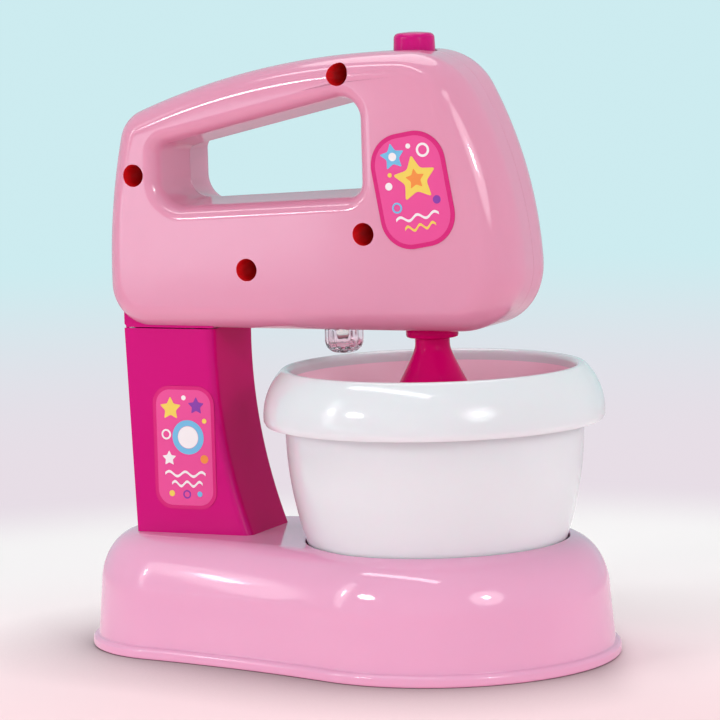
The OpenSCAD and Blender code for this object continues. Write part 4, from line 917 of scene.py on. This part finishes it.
def softened(name, node, body, material, width):
    c = column
    bm = bmesh.new()
    bm.from_mesh(nodes[node].data)
    bmesh.ops.remove_doubles(bm, verts=bm.verts, dist=c["merge"])
    bmesh.ops.dissolve_limit(bm, angle_limit=math.radians(c["flat"]), verts=bm.verts, edges=bm.edges)
    steep = math.radians(c["sharp"])
    rounded(bm, [e for e in bm.edges if len(e.link_faces) == 2 and e.calc_face_angle(0) > steep], width)
    obj = toObject(name, bm)
    # painted shade: the face towards the bowl takes the shaded, duller copy of the magenta
    if isinstance(material, list):    # the face towards the bowl takes the second, duller material
        for face in obj.data.polygons:
            face.material_index = int(face.normal.x > c["frontward"])
    finishPiece(obj, body, material, [node], evenly=True)


softened("columnNear", "column_near_half", "stand", [magenta, magentaShadedFront], column["round"])
softened("columnFar", "column_far_half", "stand", [magenta, magentaShadedFront], column["round"])
softened("tiltNeck", "tilt_neck", "head", magenta, column["neckRound"])
print("column and neck made")


# prints on the two labels: stars, rings, dots and waves; a mark is kind, ink, place and size
headPrint = {
    "body": "head", "centre": (34.5, 149.0), "lean": 10.0, "face": -21.2,
    "panel": (22.2, 33.2, 8.6),
    "marks": [
        ("star", "yellow", 1.6, 3.2, 7.6), ("star", "orange", 1.6, 3.2, 3.4),
        ("star", "blue", -4.6, 11.2, 4.4), ("dot", "white", -4.6, 11.2, 1.3),
        ("ring", "white", 5.8, 11.6, 2.2), ("dot", "purple", 7.4, -4.2, 1.3),
        ("dot", "white", -7.6, 2.4, 1.2), ("dot", "yellow", -6.6, 5.8, 0.7),
        ("dot", "white", 1.2, 13.6, 0.8), ("ring", "blue", -6.2, -4.6, 1.7),
        ("wave", "white", 0.0, -8.4, 14.5), ("wave", "yellow", 0.4, -11.6, 10.5),
    ],
}
columnPrint = {
    "body": "stand", "centre": (-50.0, 65.5), "lean": 0.0, "face": -15.6,
    "panel": (19.6, 37.6, 5.0),
    "marks": [
        ("ring", "blue", 1.4, 3.4, 5.6), ("dot", "white", 1.4, 3.4, 3.6),
        ("star", "yellow", -4.6, 12.6, 4.0), ("star", "purple", 4.6, 13.6, 3.0),
        ("ring", "white", -6.4, 4.2, 1.7), ("dot", "orange", 7.0, -3.6, 1.4),
        ("star", "white", -5.6, -3.6, 2.6), ("dot", "yellow", 7.4, 8.8, 0.8),
        ("dot", "white", 0.2, 16.2, 0.8), ("wave", "white", 0.0, -8.6, 14.5),
        ("wave", "white", 0.6, -11.8, 11.0), ("dot", "yellow", -5.0, -15.0, 1.0),
        ("ring", "purple", 0.4, -15.2, 1.4), ("dot", "blue", 5.0, -15.0, 0.9),
    ],
}
inking = {
    "thick": 0.04, "round": 40, "ringIn": 0.66, "starIn": 0.5, "starRound": 0.12,
    "waveSteps": 40, "waves": 2.5, "swing": 0.75, "halfLine": 0.42,
}


def roundedPanel(bm, wide, tall, r):
    x, z = wide / 2 - r, tall / 2 - r
    quarters = [(x, z, 0), (-x, z, 90), (-x, -z, 180), (x, -z, 270)]
    edge = [p for cx, cz, a in quarters for p in arc(cx, cz, r, a, a + 90, 10)]
    return [bm.faces.new([bm.verts.new((px, 0, pz)) for px, pz in edge])]


def waveMark(bm, size):
    half = inking["halfLine"]
    shares = [k / inking["waveSteps"] for k in range(inking["waveSteps"] + 1)]
    line = [(size * (s - 0.5), inking["swing"] * math.sin(math.tau * inking["waves"] * s)) for s in shares]
    edge = [(x, z + half) for x, z in line] + [(x, z - half) for x, z in reversed(line)]
    return [bm.faces.new([bm.verts.new((x, 0, z)) for x, z in edge])]


def starMark(bm, size):
    verts = bmesh.ops.create_circle(bm, cap_ends=True, radius=size, segments=10)["verts"]
    for v in verts[1::2]:
        v.co *= inking["starIn"]
    bmesh.ops.bevel(bm, geom=verts, offset=size * inking["starRound"], offset_type="OFFSET",
                    affect="VERTICES", segments=4, profile=0.5, material=-1)


def ringMark(bm, size):
    rims = [bmesh.ops.create_circle(bm, cap_ends=False, radius=r, segments=inking["round"])["verts"]
            for r in (size, size * inking["ringIn"])]
    bmesh.ops.bridge_loops(bm, edges=list({e for rim in rims for v in rim for e in v.link_edges}))


def dotMark(bm, size):
    bmesh.ops.create_circle(bm, cap_ends=True, radius=size, segments=inking["round"])


def markFaces(bm, kind, size):
    # a flat mark round the origin, drawn in the plane of the label
    if kind == "panel":
        return roundedPanel(bm, *size)
    if kind == "wave":
        return waveMark(bm, size)
    known = set(bm.faces)
    {"star": starMark, "ring": ringMark, "dot": dotMark}[kind](bm, size)
    made = [f for f in bm.faces if f not in known]
    upright = Matrix.Rotation(math.radians(90), 3, "X")
    bmesh.ops.rotate(bm, matrix=upright, verts=list({v for f in made for v in f.verts}))
    return made


def makePrint(name, p):
    bm = bmesh.new()
    order = list(inks)
    marks = [("panel", "rose", 0, 0, p["panel"])] + p["marks"]
    for layer, (kind, ink, u, v, size) in enumerate(marks):
        flat = markFaces(bm, kind, size)
        # marks lie higher than the panel, on three levels, so that none share a face
        lift = inking["thick"] * (1 if kind == "panel" else 2 + 0.5 * (layer % 3))
        solid = bmesh.ops.extrude_face_region(bm, geom=flat, use_keep_orig=True)["geom"]
        top = [g for g in solid if isinstance(g, bmesh.types.BMVert)]
        everything = list({w for f in flat for w in f.verts} | set(top))
        bmesh.ops.translate(bm, vec=(0, -lift, 0), verts=top)
        bmesh.ops.translate(bm, vec=(u, 0, v), verts=everything)
        for face in {f for w in everything for f in w.link_faces}:
            face.material_index = order.index(ink)
    bmesh.ops.rotate(bm, matrix=Matrix.Rotation(math.radians(-p["lean"]), 3, "Y"), verts=bm.verts)
    bmesh.ops.scale(bm, vec=(mm, mm, mm), verts=bm.verts)
    x, z = p["centre"]
    bmesh.ops.translate(bm, vec=(x * mm, p["face"] * mm, z * mm), verts=bm.verts)
    obj = toObject(name, bm, merged=False)
    finishPiece(obj, p["body"], list(inks.values()))


makePrint("headLabelPrint", headPrint)
makePrint("columnLabelPrint", columnPrint)
print("labels printed")


# finishes of the CAD nodes that stay
stays = [
    (basePinkLit, ["base_plate", "battery_door"]),
    (steel, ["door_screw", "base_screws", "battery_contacts", "battery_springs", "column_screws",
             "column_foot_screws", "hinge_pin", "neck_screws", "head_screws", "motor", "idler_axle",
             "drive_spindle", "motor_shaft"]),
    (nylon, ["gearbox_tray", "gearbox_lid", "spindle_bush", "switch_plunger", "spindle_gear", "idler_gear"]),
    (sheath, ["column_lead", "head_lead"]),
    (film, ["column_sticker", "head_sticker"]),
    (jacket, ["battery_cells"]),
    (lampGlass, ["lamp_bulb"]),
    (black, ["push_switch"]),
    (brass, ["motor_pinion"]),
]
for material, names in stays:
    for name in names:
        nodes[name].data.materials.clear()
        nodes[name].data.materials.append(material)
print("node finishes set")
